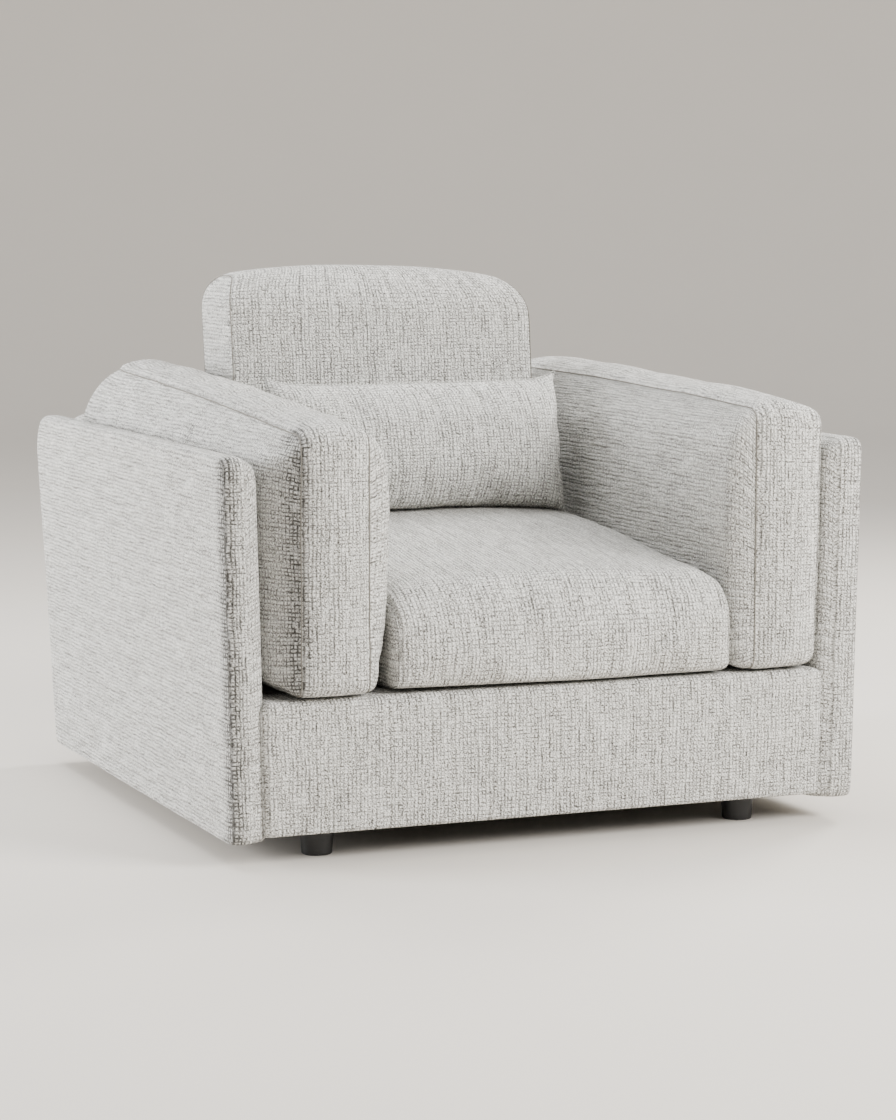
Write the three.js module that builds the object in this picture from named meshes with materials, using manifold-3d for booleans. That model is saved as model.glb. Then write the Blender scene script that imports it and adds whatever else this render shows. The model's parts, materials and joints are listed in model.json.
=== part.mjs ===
// Upholstered armchair: a low base on four feet, two padded side panels and a back panel that form a
// U-shaped shell, and six loose cushions that stand inside it (seat, two arms, back bolster, back, lumbar).
// Millimetres, +Z up, the sitter faces -Y, +X is at the right of a person looking at the front.
// The origin is on the floor, under the middle of the overall box.

import * as THREE from "three";
import { mergeVertices } from "three/addons/utils/BufferGeometryUtils.js";
import Module from "manifold-3d";

const wasm = await Module();
wasm.setup();

// ---------------------------------------------------------------- driving dimensions

const WIDTH = 1000;              // over the tops of the side panels
const DEPTH = 990;               // front of the base to the top rear edge of the back panel
const FRONT = -DEPTH / 2;
const SHELL_TOP = 575;
const SHELL_BOTTOM = 34;
const SHELL_THICKNESS = 57;
const FLARE = 0.0213;            // the side panels lean outwards by this much for each mm of height
const RECLINE = 0.12;            // the back panel and back cushions lean back by this much for each mm
const REAR_BOTTOM = 431.75;      // rear face of the back panel at SHELL_BOTTOM
const SHELL_REAR_RADIUS = 55;    // rear top corner of the side panels
const SHELL_FRONT_RADIUS = 14;
const PADDING = 12;              // foam and fabric over the timber
const GAP = 0.5;                 // clearance between pieces that touch
const INNER_HALF = WIDTH / 2 - FLARE * (SHELL_TOP - SHELL_BOTTOM) - SHELL_THICKNESS;

const FOOT_HEIGHT = 42;
const FOOT_TOP_RADIUS = 25;
const FOOT_BOTTOM_RADIUS = 22;
const FOOT_CHAMFER = 2;
const FOOT_X = 337;
const FOOT_FRONT_Y = FRONT + 73;
const FOOT_REAR_Y = 310;

const BASE_BOTTOM = 42;
const DECK_TOP = 232;            // the cushions stand on this height
const TIMBER = 28;               // thickness of the base rails
const RAIL_BOTTOM = 45;
const RAIL_TOP = 206;
const REAR_RAIL_Y = rearFace(RAIL_BOTTOM) - SHELL_THICKNESS - GAP;   // rear face of the rear rail
const DUST_COVER_THICKNESS = 1.5;
const DECK_PAD_BOTTOM = 211.5;
const FRONT_COVER_LIP = 90;      // how far the front cover runs back over the deck

const BOLT_RADIUS = 4;
const BOLT_CLEARANCE = 0.4;
const BOLT_HEAD_RADIUS = 7;
const BOLT_HEAD_HEIGHT = 5;
const ARM_BOLT_Z = 90;
const ARM_BOLT_YS = { front: -300, rear: 180 };
const FOOT_SOCKET_DEPTH = 22;
const FOOT_BOLT_TOP = 104;

const BLOCK_DEPTH = 80;
const BLOCK_TOP = 125;
const BLOCK_REACH = 45;          // from the foot's axis to the block's inner end
const CENTRE_RAIL_Y = -75;
const CENTRE_RAIL_HEIGHT = 95;

const SPRING_WIRE_RADIUS = 1.9;
const SPRING_COUNT = 5;
const SPRING_PITCH = 140;
const SPRING_WAVES = 12;
const SPRING_AMPLITUDE = 24;

const COVER_WALL = 4;            // sewn cover of a loose cushion
const CORE_GAP = 1;              // between a cushion's cover and its foam core
const ZIP_GAPE = 5;              // opening along a cushion's zip

const CUSHION_BOTTOM = DECK_TOP + GAP;
const ARM_CUSHION_INNER = 270;
const ARM_CUSHION_OUTER = 430;
const ARM_CUSHION_FRONT_TOP = 624;
const ARM_CUSHION_CREST = { y: FRONT + 600, z: 660 };
const ARM_CUSHION_REAR_TOP = 650;
const BOLSTER_HALF = 267;
const BOLSTER_DEPTH = 131;
const BOLSTER_TOP = 640;
const SEAT_HALF = 266;
const SEAT_FRONT_TOP = 372;
const SEAT_CROWN_TOP = 440;
const BACK_HALF = 260;
const BACK_DEPTH = 147;
const BACK_BOTTOM = 442;
const BACK_TOP = 825;
const LUMBAR_SIZE = { width: 500, depth: 150, height: 218 };
const LUMBAR_CENTRE = { y: 40, z: 545 };
const LUMBAR_LEAN = 0.2;

// ---------------------------------------------------------------- materials

function material(color, roughness, metalness = 0) {
  return new THREE.MeshStandardMaterial({ color, roughness, metalness });
}

const MATERIALS = {
  fabric: material(0xcdcbc6, 0.95),
  foam: material(0xe9dfc4, 0.9),
  wadding: material(0xdad6cc, 0.95),
  timber: material(0xc9a777, 0.7),
  board: material(0xa9865a, 0.75),
  steel: material(0x9a9c9e, 0.35, 0.9),
  plastic: material(0x1c1c1d, 0.45),
  dustCloth: material(0x232323, 0.9),
};

// ---------------------------------------------------------------- solids

function toSolid(geometry) {
  const bare = geometry.clone();
  bare.deleteAttribute("normal");
  bare.deleteAttribute("uv");
  const merged = mergeVertices(bare, 1e-4);
  return new wasm.Manifold(new wasm.Mesh({
    numProp: 3,
    vertProperties: Float32Array.from(merged.attributes.position.array),
    triVerts: Uint32Array.from(merged.index.array),
  }));
}

function toGeometry(solid) {
  const { vertProperties, triVerts } = solid.getMesh();
  const geometry = new THREE.BufferGeometry();
  geometry.setAttribute("position", new THREE.BufferAttribute(vertProperties, 3));
  geometry.setIndex(new THREE.BufferAttribute(triVerts, 1));
  return geometry;
}

function cut(geometry, ...tools) {
  return toGeometry(tools.reduce((rest, tool) => rest.subtract(toSolid(tool)), toSolid(geometry)));
}

// Moves every vertex by a rule that gives its new place.
function reshape(geometry, rule) {
  const places = geometry.attributes.position;
  const point = new THREE.Vector3();
  for (let i = 0; i < places.count; i += 1) {
    point.fromBufferAttribute(places, i);
    rule(point);
    places.setXYZ(i, point.x, point.y, point.z);
  }
  return geometry;
}

// A closed outline from [u, v, radius] corners; a corner without a radius is sharp.
function outline(corners) {
  const shape = new THREE.Shape();
  corners.forEach(([u, v, radius = 0], i) => {
    const corner = new THREE.Vector2(u, v);
    const [beforeU, beforeV] = corners.at(i - 1);
    const [afterU, afterV] = corners[(i + 1) % corners.length];
    const towards = (otherU, otherV) =>
      new THREE.Vector2(otherU, otherV).sub(corner).normalize().multiplyScalar(radius).add(corner);
    const start = towards(beforeU, beforeV);
    const end = towards(afterU, afterV);
    if (i === 0) {
      shape.moveTo(start.x, start.y);
    } else {
      shape.lineTo(start.x, start.y);
    }
    if (radius > 0) {
      shape.quadraticCurveTo(corner.x, corner.y, end.x, end.y);
    }
  });
  shape.closePath();
  return shape;
}

// An outline in the YZ plane, extruded along X from xStart to xEnd. Its two ends are rounded off by
// drawing the outermost rings in towards the outline's middle, a quarter round of the radius soften.
const YZ_ALONG_X = new THREE.Matrix4().makeBasis(
  new THREE.Vector3(0, 1, 0),
  new THREE.Vector3(0, 0, 1),
  new THREE.Vector3(1, 0, 0),
);
const ROUND_OFF = [{ along: 0, inset: 1 }, { along: 0.29, inset: 0.29 }, { along: 1, inset: 0 }];

function extrudeAlongX(corners, xStart, xEnd, soften = 0, curveSegments = 4) {
  const steps = soften > 0 ? 2 * ROUND_OFF.length - 1 : 1;
  const geometry = new THREE.ExtrudeGeometry(outline(corners), {
    depth: steps,
    steps,
    bevelEnabled: false,
    curveSegments,
  });
  geometry.applyMatrix4(YZ_ALONG_X);
  geometry.computeBoundingBox();
  const size = geometry.boundingBox.getSize(new THREE.Vector3());
  const middle = geometry.boundingBox.getCenter(new THREE.Vector3());
  return reshape(geometry, (point) => {
    const ring = Math.round(point.x);
    const fromEnd = Math.min(ring, steps - ring);
    const { along, inset } = ROUND_OFF[fromEnd];
    const shift = soften * along;
    point.x = 2 * ring < steps ? xStart + shift : xEnd - shift;
    point.y = middle.y + (point.y - middle.y) * (1 - (2 * soften * inset) / size.y);
    point.z = middle.z + (point.z - middle.z) * (1 - (2 * soften * inset) / size.z);
  });
}

function boxBetween([xLow, xHigh], [yLow, yHigh], [zLow, zHigh]) {
  const geometry = new THREE.BoxGeometry(xHigh - xLow, yHigh - yLow, zHigh - zLow);
  geometry.translate((xLow + xHigh) / 2, (yLow + yHigh) / 2, (zLow + zHigh) / 2);
  return geometry;
}

function rodAlongX(radius, xLow, xHigh, y, z) {
  const geometry = new THREE.CylinderGeometry(radius, radius, xHigh - xLow, 16);
  geometry.rotateZ(Math.PI / 2);
  geometry.translate((xLow + xHigh) / 2, y, z);
  return geometry;
}

function rodAlongZ(radius, zLow, zHigh, x, y) {
  const geometry = new THREE.CylinderGeometry(radius, radius, zHigh - zLow, 16);
  geometry.rotateX(Math.PI / 2);
  geometry.translate(x, y, (zLow + zHigh) / 2);
  return geometry;
}

const chair = new THREE.Group();
chair.name = "armchair";

function add(name, geometry, kind) {
  const mesh = new THREE.Mesh(geometry, MATERIALS[kind]);
  mesh.name = name;
  chair.add(mesh);
  return mesh;
}

// ---------------------------------------------------------------- shared planes of the shell

const SIDES = [["left", -1], ["right", 1]];

function rearFace(z) {
  return REAR_BOTTOM + RECLINE * (z - SHELL_BOTTOM);
}

// The X span of a layer of a side panel, counted outwards from the panel's inner face.
function sideLayer(side, innerDepth, outerDepth) {
  const near = side * (INNER_HALF + innerDepth);
  const far = side * (INNER_HALF + outerDepth);
  return [Math.min(near, far), Math.max(near, far)];
}

function flare(geometry, side) {
  return reshape(geometry, (point) => {
    point.x += side * FLARE * (point.z - SHELL_BOTTOM);
  });
}

// Widens a piece of the back panel so that its ends follow the flared side panels.
function widen(geometry) {
  return reshape(geometry, (point) => {
    point.x *= 1 + FLARE * (point.z - SHELL_BOTTOM) / INNER_HALF;
  });
}

// ---------------------------------------------------------------- feet and base

function addFoot(corner, x, y) {
  const profile = [
    [0, 0],
    [FOOT_BOTTOM_RADIUS - FOOT_CHAMFER, 0],
    [FOOT_BOTTOM_RADIUS, FOOT_CHAMFER],
    [FOOT_TOP_RADIUS, FOOT_HEIGHT],
    [0, FOOT_HEIGHT],
  ].map(([radius, height]) => new THREE.Vector2(radius, height));
  const body = new THREE.LatheGeometry(profile, 28);
  body.rotateX(Math.PI / 2);
  const socketBottom = FOOT_HEIGHT - FOOT_SOCKET_DEPTH;
  const socket = rodAlongZ(BOLT_RADIUS + BOLT_CLEARANCE, socketBottom, FOOT_HEIGHT + 5, 0, 0);
  const bolt = rodAlongZ(BOLT_RADIUS, socketBottom + GAP, FOOT_BOLT_TOP, 0, 0);
  add(`foot_${corner}`, cut(body, socket), "plastic").position.set(x, y, 0);
  add(`foot_bolt_${corner}`, bolt, "steel").position.set(x, y, 0);
}

function addCornerBlock(corner, side, footY, yBetween) {
  const innerDepth = FOOT_X - BLOCK_REACH - INNER_HALF;
  const xBetween = sideLayer(side, innerDepth, -TIMBER - 2 * GAP);
  const block = boxBetween(xBetween, yBetween, [RAIL_BOTTOM, BLOCK_TOP]);
  const bore = rodAlongZ(BOLT_RADIUS + BOLT_CLEARANCE, RAIL_BOTTOM - 5, BLOCK_TOP + 5, side * FOOT_X, footY);
  add(`corner_block_${corner}`, cut(block, bore), "timber");
}

const RAIL_SPAN = INNER_HALF - GAP;
const FRONT_RAIL_REAR = FRONT + PADDING + GAP + TIMBER;
const REAR_RAIL_FRONT = REAR_RAIL_Y - TIMBER;

for (const [name, side] of SIDES) {
  addFoot(`front_${name}`, side * FOOT_X, FOOT_FRONT_Y);
  addFoot(`rear_${name}`, side * FOOT_X, FOOT_REAR_Y);
  const frontBlock = [FRONT_RAIL_REAR + GAP, FRONT_RAIL_REAR + GAP + BLOCK_DEPTH];
  const rearBlock = [REAR_RAIL_FRONT - GAP - BLOCK_DEPTH, REAR_RAIL_FRONT - GAP];
  addCornerBlock(`front_${name}`, side, FOOT_FRONT_Y, frontBlock);
  addCornerBlock(`rear_${name}`, side, FOOT_REAR_Y, rearBlock);
}

add("front_rail", boxBetween(
  [-RAIL_SPAN, RAIL_SPAN],
  [FRONT_RAIL_REAR - TIMBER, FRONT_RAIL_REAR],
  [RAIL_BOTTOM, RAIL_TOP],
), "timber");
add("rear_rail", boxBetween(
  [-RAIL_SPAN, RAIL_SPAN],
  [REAR_RAIL_FRONT, REAR_RAIL_Y],
  [RAIL_BOTTOM, RAIL_TOP],
), "timber");

function armBoltHole(side, y, innerDepth, outerDepth) {
  const [low, high] = sideLayer(side, innerDepth, outerDepth);
  return rodAlongX(BOLT_RADIUS + BOLT_CLEARANCE, low, high, y, ARM_BOLT_Z);
}

for (const [name, side] of SIDES) {
  const rail = boxBetween(
    sideLayer(side, -GAP - TIMBER, -GAP),
    [FRONT_RAIL_REAR + GAP, REAR_RAIL_FRONT - GAP],
    [RAIL_BOTTOM, RAIL_TOP],
  );
  const holes = Object.values(ARM_BOLT_YS).map((y) => armBoltHole(side, y, -60, 10));
  add(`side_rail_${name}`, cut(rail, ...holes), "timber");
}

const CENTRE_RAIL_HALF = RAIL_SPAN - TIMBER - GAP;
add("centre_rail", boxBetween(
  [-CENTRE_RAIL_HALF, CENTRE_RAIL_HALF],
  [CENTRE_RAIL_Y - TIMBER / 2, CENTRE_RAIL_Y + TIMBER / 2],
  [RAIL_BOTTOM, RAIL_BOTTOM + CENTRE_RAIL_HEIGHT],
), "timber");

function addDustCover() {
  const half = RAIL_SPAN - 2;
  const [low, high] = [BASE_BOTTOM + GAP, BASE_BOTTOM + GAP + DUST_COVER_THICKNESS];
  const sheet = boxBetween([-half, half], [FRONT + PADDING + 2, REAR_RAIL_Y - 2], [low, high]);
  const holes = SIDES.flatMap(([, side]) => [FOOT_FRONT_Y, FOOT_REAR_Y].map(
    (y) => rodAlongZ(BOLT_RADIUS + 2, low - 1, high + 1, side * FOOT_X, y),
  ));
  add("dust_cover", cut(sheet, ...holes), "dustCloth");
}

function springPath() {
  const start = FRONT_RAIL_REAR - 14;
  const end = REAR_RAIL_FRONT + 14;
  const stepsPerWave = 6;
  const steps = SPRING_WAVES * stepsPerWave;
  const points = Array.from({ length: steps + 1 }, (_, i) => {
    const phase = (2 * Math.PI * i) / stepsPerWave;
    const z = RAIL_TOP + GAP + SPRING_WIRE_RADIUS;
    return new THREE.Vector3(SPRING_AMPLITUDE * Math.sin(phase), start + ((end - start) * i) / steps, z);
  });
  return { curve: new THREE.CatmullRomCurve3(points), steps };
}

function addSprings() {
  const { curve, steps } = springPath();
  const section = new THREE.Shape();
  const sides = 5;
  for (let i = 0; i < sides; i += 1) {
    const angle = (2 * Math.PI * i) / sides;
    const [u, v] = [SPRING_WIRE_RADIUS * Math.cos(angle), SPRING_WIRE_RADIUS * Math.sin(angle)];
    if (i === 0) {
      section.moveTo(u, v);
    } else {
      section.lineTo(u, v);
    }
  }
  section.closePath();
  for (let i = 0; i < SPRING_COUNT; i += 1) {
    const wire = new THREE.ExtrudeGeometry(section, { steps, extrudePath: curve, bevelEnabled: false });
    const x = (i - (SPRING_COUNT - 1) / 2) * SPRING_PITCH;
    add(`seat_spring_${i + 1}`, wire, "steel").position.set(x, 0, 0);
  }
}

function addDeck() {
  const half = RAIL_SPAN;
  const padRear = rearFace(DECK_PAD_BOTTOM) - SHELL_THICKNESS - GAP;
  add("deck_pad", boxBetween(
    [-half, half],
    [FRONT + FRONT_COVER_LIP + GAP, padRear],
    [DECK_PAD_BOTTOM, DECK_TOP],
  ), "wadding");
  add("front_cover", extrudeAlongX([
    [FRONT, BASE_BOTTOM, 6],
    [FRONT + PADDING, BASE_BOTTOM],
    [FRONT + PADDING, DECK_PAD_BOTTOM],
    [FRONT + FRONT_COVER_LIP, DECK_PAD_BOTTOM],
    [FRONT + FRONT_COVER_LIP, DECK_TOP],
    [FRONT, DECK_TOP, 12],
  ], -RAIL_SPAN, RAIL_SPAN), "fabric");
}

addDustCover();
addSprings();
addDeck();

// ---------------------------------------------------------------- side panels

const POST_WIDTH = 60;
const ARM_RAIL_HEIGHT = 70;
const FRAME_BOTTOM = SHELL_BOTTOM + 4;
const FRAME_TOP = SHELL_TOP - PADDING - GAP;
const LOW_RAIL = [FRAME_BOTTOM + 20, FRAME_BOTTOM + 20 + ARM_RAIL_HEIGHT];
const FRAME_FRONT = FRONT + PADDING + GAP;
const BOARD_THICKNESS = 4;
const POST_LAYER = [PADDING + GAP, SHELL_THICKNESS - PADDING - GAP - BOARD_THICKNESS - GAP];
const BOARD_LAYER = [POST_LAYER[1] + GAP, SHELL_THICKNESS - PADDING - GAP];
const REAR_POST_BEVEL = 40;      // cut off the rear post's top, under the rounded corner

function frameRear(z) {
  return rearFace(z) - PADDING - GAP;
}

function addSidePanel(name, side) {
  const [coverLow, coverHigh] = sideLayer(side, 0, SHELL_THICKNESS);
  const cover = extrudeAlongX([
    [FRONT, SHELL_BOTTOM, 8],
    [rearFace(SHELL_BOTTOM), SHELL_BOTTOM, 12],
    [rearFace(SHELL_TOP), SHELL_TOP, SHELL_REAR_RADIUS],
    [FRONT, SHELL_TOP, SHELL_FRONT_RADIUS],
  ], coverLow, coverHigh, 8);
  const below = SHELL_BOTTOM - 20;
  const cavity = extrudeAlongX([
    [FRONT + PADDING, below],
    [rearFace(below) - PADDING, below],
    [rearFace(SHELL_TOP - PADDING) - PADDING, SHELL_TOP - PADDING, REAR_POST_BEVEL],
    [FRONT + PADDING, SHELL_TOP - PADDING],
  ], ...sideLayer(side, PADDING, SHELL_THICKNESS - PADDING));
  const boltHoles = Object.values(ARM_BOLT_YS).map((y) => armBoltHole(side, y, -10, PADDING + 5));
  const shell = cut(flare(cover, side), flare(cavity, side), ...boltHoles);
  add(`arm_cover_${name}`, shell, "fabric");

  const layer = sideLayer(side, ...POST_LAYER);
  const pieces = {
    front_post: [
      [FRAME_FRONT, FRAME_BOTTOM],
      [FRAME_FRONT + POST_WIDTH, FRAME_BOTTOM],
      [FRAME_FRONT + POST_WIDTH, FRAME_TOP],
      [FRAME_FRONT, FRAME_TOP],
    ],
    rear_post: [
      [frameRear(FRAME_BOTTOM) - POST_WIDTH, FRAME_BOTTOM],
      [frameRear(FRAME_BOTTOM), FRAME_BOTTOM],
      [frameRear(FRAME_TOP - REAR_POST_BEVEL), FRAME_TOP - REAR_POST_BEVEL],
      [frameRear(FRAME_TOP) - REAR_POST_BEVEL, FRAME_TOP],
      [frameRear(FRAME_TOP) - POST_WIDTH, FRAME_TOP],
    ],
    top_rail: [
      [FRAME_FRONT + POST_WIDTH + GAP, FRAME_TOP - ARM_RAIL_HEIGHT],
      [frameRear(FRAME_TOP - ARM_RAIL_HEIGHT) - POST_WIDTH - GAP, FRAME_TOP - ARM_RAIL_HEIGHT],
      [frameRear(FRAME_TOP) - POST_WIDTH - GAP, FRAME_TOP],
      [FRAME_FRONT + POST_WIDTH + GAP, FRAME_TOP],
    ],
    bottom_rail: [
      [FRAME_FRONT + POST_WIDTH + GAP, LOW_RAIL[0]],
      [frameRear(LOW_RAIL[0]) - POST_WIDTH - GAP, LOW_RAIL[0]],
      [frameRear(LOW_RAIL[1]) - POST_WIDTH - GAP, LOW_RAIL[1]],
      [FRAME_FRONT + POST_WIDTH + GAP, LOW_RAIL[1]],
    ],
  };
  for (const [piece, corners] of Object.entries(pieces)) {
    const plain = flare(extrudeAlongX(corners, ...layer), side);
    const bored = Object.values(ARM_BOLT_YS).map((y) => armBoltHole(side, y, 0, SHELL_THICKNESS));
    add(`arm_${piece}_${name}`, piece === "bottom_rail" ? cut(plain, ...bored) : plain, "timber");
  }
  add(`arm_board_${name}`, flare(extrudeAlongX([
    [FRAME_FRONT, FRAME_BOTTOM],
    [frameRear(FRAME_BOTTOM), FRAME_BOTTOM],
    [frameRear(FRAME_TOP - REAR_POST_BEVEL), FRAME_TOP - REAR_POST_BEVEL],
    [frameRear(FRAME_TOP) - REAR_POST_BEVEL, FRAME_TOP],
    [FRAME_FRONT, FRAME_TOP],
  ], ...sideLayer(side, ...BOARD_LAYER)), side), "board");
}

function addArmBolt(place, y, name, side) {
  const [shankLow, shankHigh] = sideLayer(side, -GAP - TIMBER - GAP - 1, POST_LAYER[1] - 4);
  const [headLow, headHigh] = sideLayer(
    side,
    -GAP - TIMBER - GAP - BOLT_HEAD_HEIGHT,
    -GAP - TIMBER - GAP,
  );
  const shank = toSolid(rodAlongX(BOLT_RADIUS, shankLow, shankHigh, y, ARM_BOLT_Z));
  const head = toSolid(rodAlongX(BOLT_HEAD_RADIUS, headLow, headHigh, y, ARM_BOLT_Z));
  add(`arm_bolt_${place}_${name}`, toGeometry(shank.add(head)), "steel");
}

for (const [name, side] of SIDES) {
  addSidePanel(name, side);
  for (const [place, y] of Object.entries(ARM_BOLT_YS)) {
    addArmBolt(place, y, name, side);
  }
}

// ---------------------------------------------------------------- back panel

// A leaning slab of the back panel: nearDepth and farDepth count forwards from the panel's rear face.
function backSlab(xStart, xEnd, nearDepth, farDepth, zLow, zHigh, soften = 0, topRadius = 0) {
  return widen(extrudeAlongX([
    [rearFace(zLow) - farDepth, zLow],
    [rearFace(zLow) - nearDepth, zLow],
    [rearFace(zHigh) - nearDepth, zHigh, topRadius],
    [rearFace(zHigh) - farDepth, zHigh, topRadius],
  ], xStart, xEnd, soften));
}

function addBackPanel() {
  const half = INNER_HALF - GAP;
  const cavityHalf = half - PADDING;
  const cover = backSlab(-half, half, 0, SHELL_THICKNESS, SHELL_BOTTOM, SHELL_TOP, 0, 14);
  const cavity = backSlab(
    -cavityHalf, cavityHalf, PADDING, SHELL_THICKNESS - PADDING, SHELL_BOTTOM - 20, SHELL_TOP - PADDING,
  );
  add("back_panel_cover", cut(cover, cavity), "fabric");

  const boardNear = PADDING + GAP;
  const postNear = boardNear + BOARD_THICKNESS + GAP;
  const postFar = SHELL_THICKNESS - PADDING - GAP;
  const postOuter = cavityHalf - GAP;
  const postInner = postOuter - POST_WIDTH;
  const postSpans = { left: [-postOuter, -postInner], right: [postInner, postOuter] };
  for (const [name, span] of Object.entries(postSpans)) {
    add(`back_post_${name}`, backSlab(...span, postNear, postFar, FRAME_BOTTOM, FRAME_TOP), "timber");
  }
  const railHalf = postInner - GAP;
  add("back_top_rail", backSlab(
    -railHalf, railHalf, postNear, postFar, FRAME_TOP - ARM_RAIL_HEIGHT, FRAME_TOP,
  ), "timber");
  add("back_bottom_rail", backSlab(
    -railHalf, railHalf, postNear, postFar, ...LOW_RAIL,
  ), "timber");
  add("back_board", backSlab(
    -postOuter, postOuter, boardNear, boardNear + BOARD_THICKNESS, FRAME_BOTTOM, FRAME_TOP,
  ), "board");
}

addBackPanel();

// ---------------------------------------------------------------- loose cushions

// A copy of a geometry shrunk about its own middle by inset on every side.
function shrunk(geometry, inset) {
  const copy = geometry.clone();
  copy.computeBoundingBox();
  const size = copy.boundingBox.getSize(new THREE.Vector3());
  const middle = copy.boundingBox.getCenter(new THREE.Vector3());
  copy.translate(-middle.x, -middle.y, -middle.z);
  copy.scale(1 - (2 * inset) / size.x, 1 - (2 * inset) / size.y, 1 - (2 * inset) / size.z);
  copy.translate(middle.x, middle.y, middle.z);
  return copy;
}

// A sewn cover, open along its zip, around a foam core.
function addCushion(name, geometry, zipOpening) {
  const cover = cut(geometry, shrunk(geometry, COVER_WALL), zipOpening);
  const core = toGeometry(toSolid(shrunk(geometry, COVER_WALL + CORE_GAP)));
  return [add(`${name}_cover`, cover, "fabric"), add(`${name}_core`, core, "foam")];
}

const INNER_BACK_DEPTH = SHELL_THICKNESS + 2;       // rear face of the cushions, from the panel's rear face
const BOLSTER_FRONT_DEPTH = INNER_BACK_DEPTH + BOLSTER_DEPTH;
const BACK_REAR_DEPTH = BOLSTER_FRONT_DEPTH + 3;

function addArmCushions() {
  const corners = [
    [FRONT + 1, CUSHION_BOTTOM, 14],
    [rearFace(CUSHION_BOTTOM) - INNER_BACK_DEPTH, CUSHION_BOTTOM, 14],
    [rearFace(ARM_CUSHION_REAR_TOP) - INNER_BACK_DEPTH, ARM_CUSHION_REAR_TOP, 100],
    [ARM_CUSHION_CREST.y, ARM_CUSHION_CREST.z, 200],
    [FRONT + 1, ARM_CUSHION_FRONT_TOP, 42],
  ];
  for (const [name, side] of SIDES) {
    const low = Math.min(side * ARM_CUSHION_INNER, side * ARM_CUSHION_OUTER);
    const high = Math.max(side * ARM_CUSHION_INNER, side * ARM_CUSHION_OUTER);
    const body = extrudeAlongX(corners, low, high, 30, 3);
    const middle = (low + high) / 2;
    const zip = boxBetween(
      [middle - ZIP_GAPE / 2, middle + ZIP_GAPE / 2],
      [-300, 300],
      [CUSHION_BOTTOM - 2, CUSHION_BOTTOM + COVER_WALL + 2],
    );
    addCushion(`arm_cushion_${name}`, body, zip);
  }
}

function addBolster() {
  const corners = [
    [rearFace(CUSHION_BOTTOM) - BOLSTER_FRONT_DEPTH, CUSHION_BOTTOM, 14],
    [rearFace(CUSHION_BOTTOM) - INNER_BACK_DEPTH, CUSHION_BOTTOM, 14],
    [rearFace(BOLSTER_TOP) - INNER_BACK_DEPTH, BOLSTER_TOP, 60],
    [rearFace(BOLSTER_TOP) - BOLSTER_FRONT_DEPTH, BOLSTER_TOP, 60],
  ];
  const body = extrudeAlongX(corners, -BOLSTER_HALF, BOLSTER_HALF, 24, 3);
  const zipY = rearFace(CUSHION_BOTTOM) - (INNER_BACK_DEPTH + BOLSTER_FRONT_DEPTH) / 2;
  const zip = boxBetween(
    [-180, 180],
    [zipY - ZIP_GAPE / 2, zipY + ZIP_GAPE / 2],
    [CUSHION_BOTTOM - 2, CUSHION_BOTTOM + COVER_WALL + 2],
  );
  addCushion("back_bolster", body, zip);
}

function addSeatCushion() {
  const rear = rearFace(CUSHION_BOTTOM) - BOLSTER_FRONT_DEPTH - 3;
  const corners = [
    [FRONT + 1, CUSHION_BOTTOM, 14],
    [rear, CUSHION_BOTTOM, 14],
    [rear, SEAT_CROWN_TOP - 8, 34],
    [FRONT + 470, SEAT_CROWN_TOP, 240],
    [FRONT + 1, SEAT_FRONT_TOP, 46],
  ];
  const body = extrudeAlongX(corners, -SEAT_HALF, SEAT_HALF, 26, 3);
  const zipZ = (CUSHION_BOTTOM + SEAT_CROWN_TOP) / 2;
  const zip = boxBetween(
    [-190, 190],
    [rear - COVER_WALL - 3, rear + 3],
    [zipZ - ZIP_GAPE / 2, zipZ + ZIP_GAPE / 2],
  );
  addCushion("seat_cushion", body, zip);
}

function addBackCushion() {
  const frontDepth = BACK_REAR_DEPTH + BACK_DEPTH;
  const corners = [
    [rearFace(BACK_BOTTOM) - frontDepth, BACK_BOTTOM, 20],
    [rearFace(BACK_BOTTOM) - BACK_REAR_DEPTH, BACK_BOTTOM, 20],
    [rearFace(BACK_TOP) - BACK_REAR_DEPTH, BACK_TOP, 62],
    [rearFace(BACK_TOP) - frontDepth, BACK_TOP, 62],
  ];
  const body = extrudeAlongX(corners, -BACK_HALF, BACK_HALF, 34, 3);
  const zipY = rearFace(BACK_BOTTOM) - BACK_REAR_DEPTH - BACK_DEPTH / 2;
  const zip = boxBetween(
    [-180, 180],
    [zipY - ZIP_GAPE / 2, zipY + ZIP_GAPE / 2],
    [BACK_BOTTOM - 2, BACK_BOTTOM + COVER_WALL + 3],
  );
  addCushion("back_cushion", body, zip);
}

// A knife-edged pillow: thick in the middle, thin at its edges, its sides drawn in between the corners.
function addLumbarCushion() {
  const { width, depth, height } = LUMBAR_SIZE;
  const edge = 0.2;
  const drawIn = 0.035;
  const body = reshape(new THREE.BoxGeometry(width, depth, height, 8, 2, 6), (point) => {
    const u = (2 * point.x) / width;
    const v = (2 * point.z) / height;
    point.y *= edge + (1 - edge) * Math.sqrt((1 - u ** 4) * (1 - v ** 4));
    point.x *= 1 - drawIn * (1 - v * v);
    point.z *= 1 - drawIn * (1 - u * u);
  });
  const zip = boxBetween([-160, 160], [-ZIP_GAPE / 2, ZIP_GAPE / 2], [-height / 2 - 2, -height / 2 + 14]);
  for (const mesh of addCushion("lumbar_cushion", body, zip)) {
    mesh.position.set(0, LUMBAR_CENTRE.y, LUMBAR_CENTRE.z);
    mesh.rotation.x = -Math.atan(LUMBAR_LEAN);
  }
}

addArmCushions();
addBolster();
addSeatCushion();
addBackCushion();
addLumbarCushion();

export default chair;
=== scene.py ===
import json
import math
import random

import bpy
import numpy as np
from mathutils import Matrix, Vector, noise
from mathutils.bvhtree import BVHTree
from mathutils.kdtree import KDTree


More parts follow.
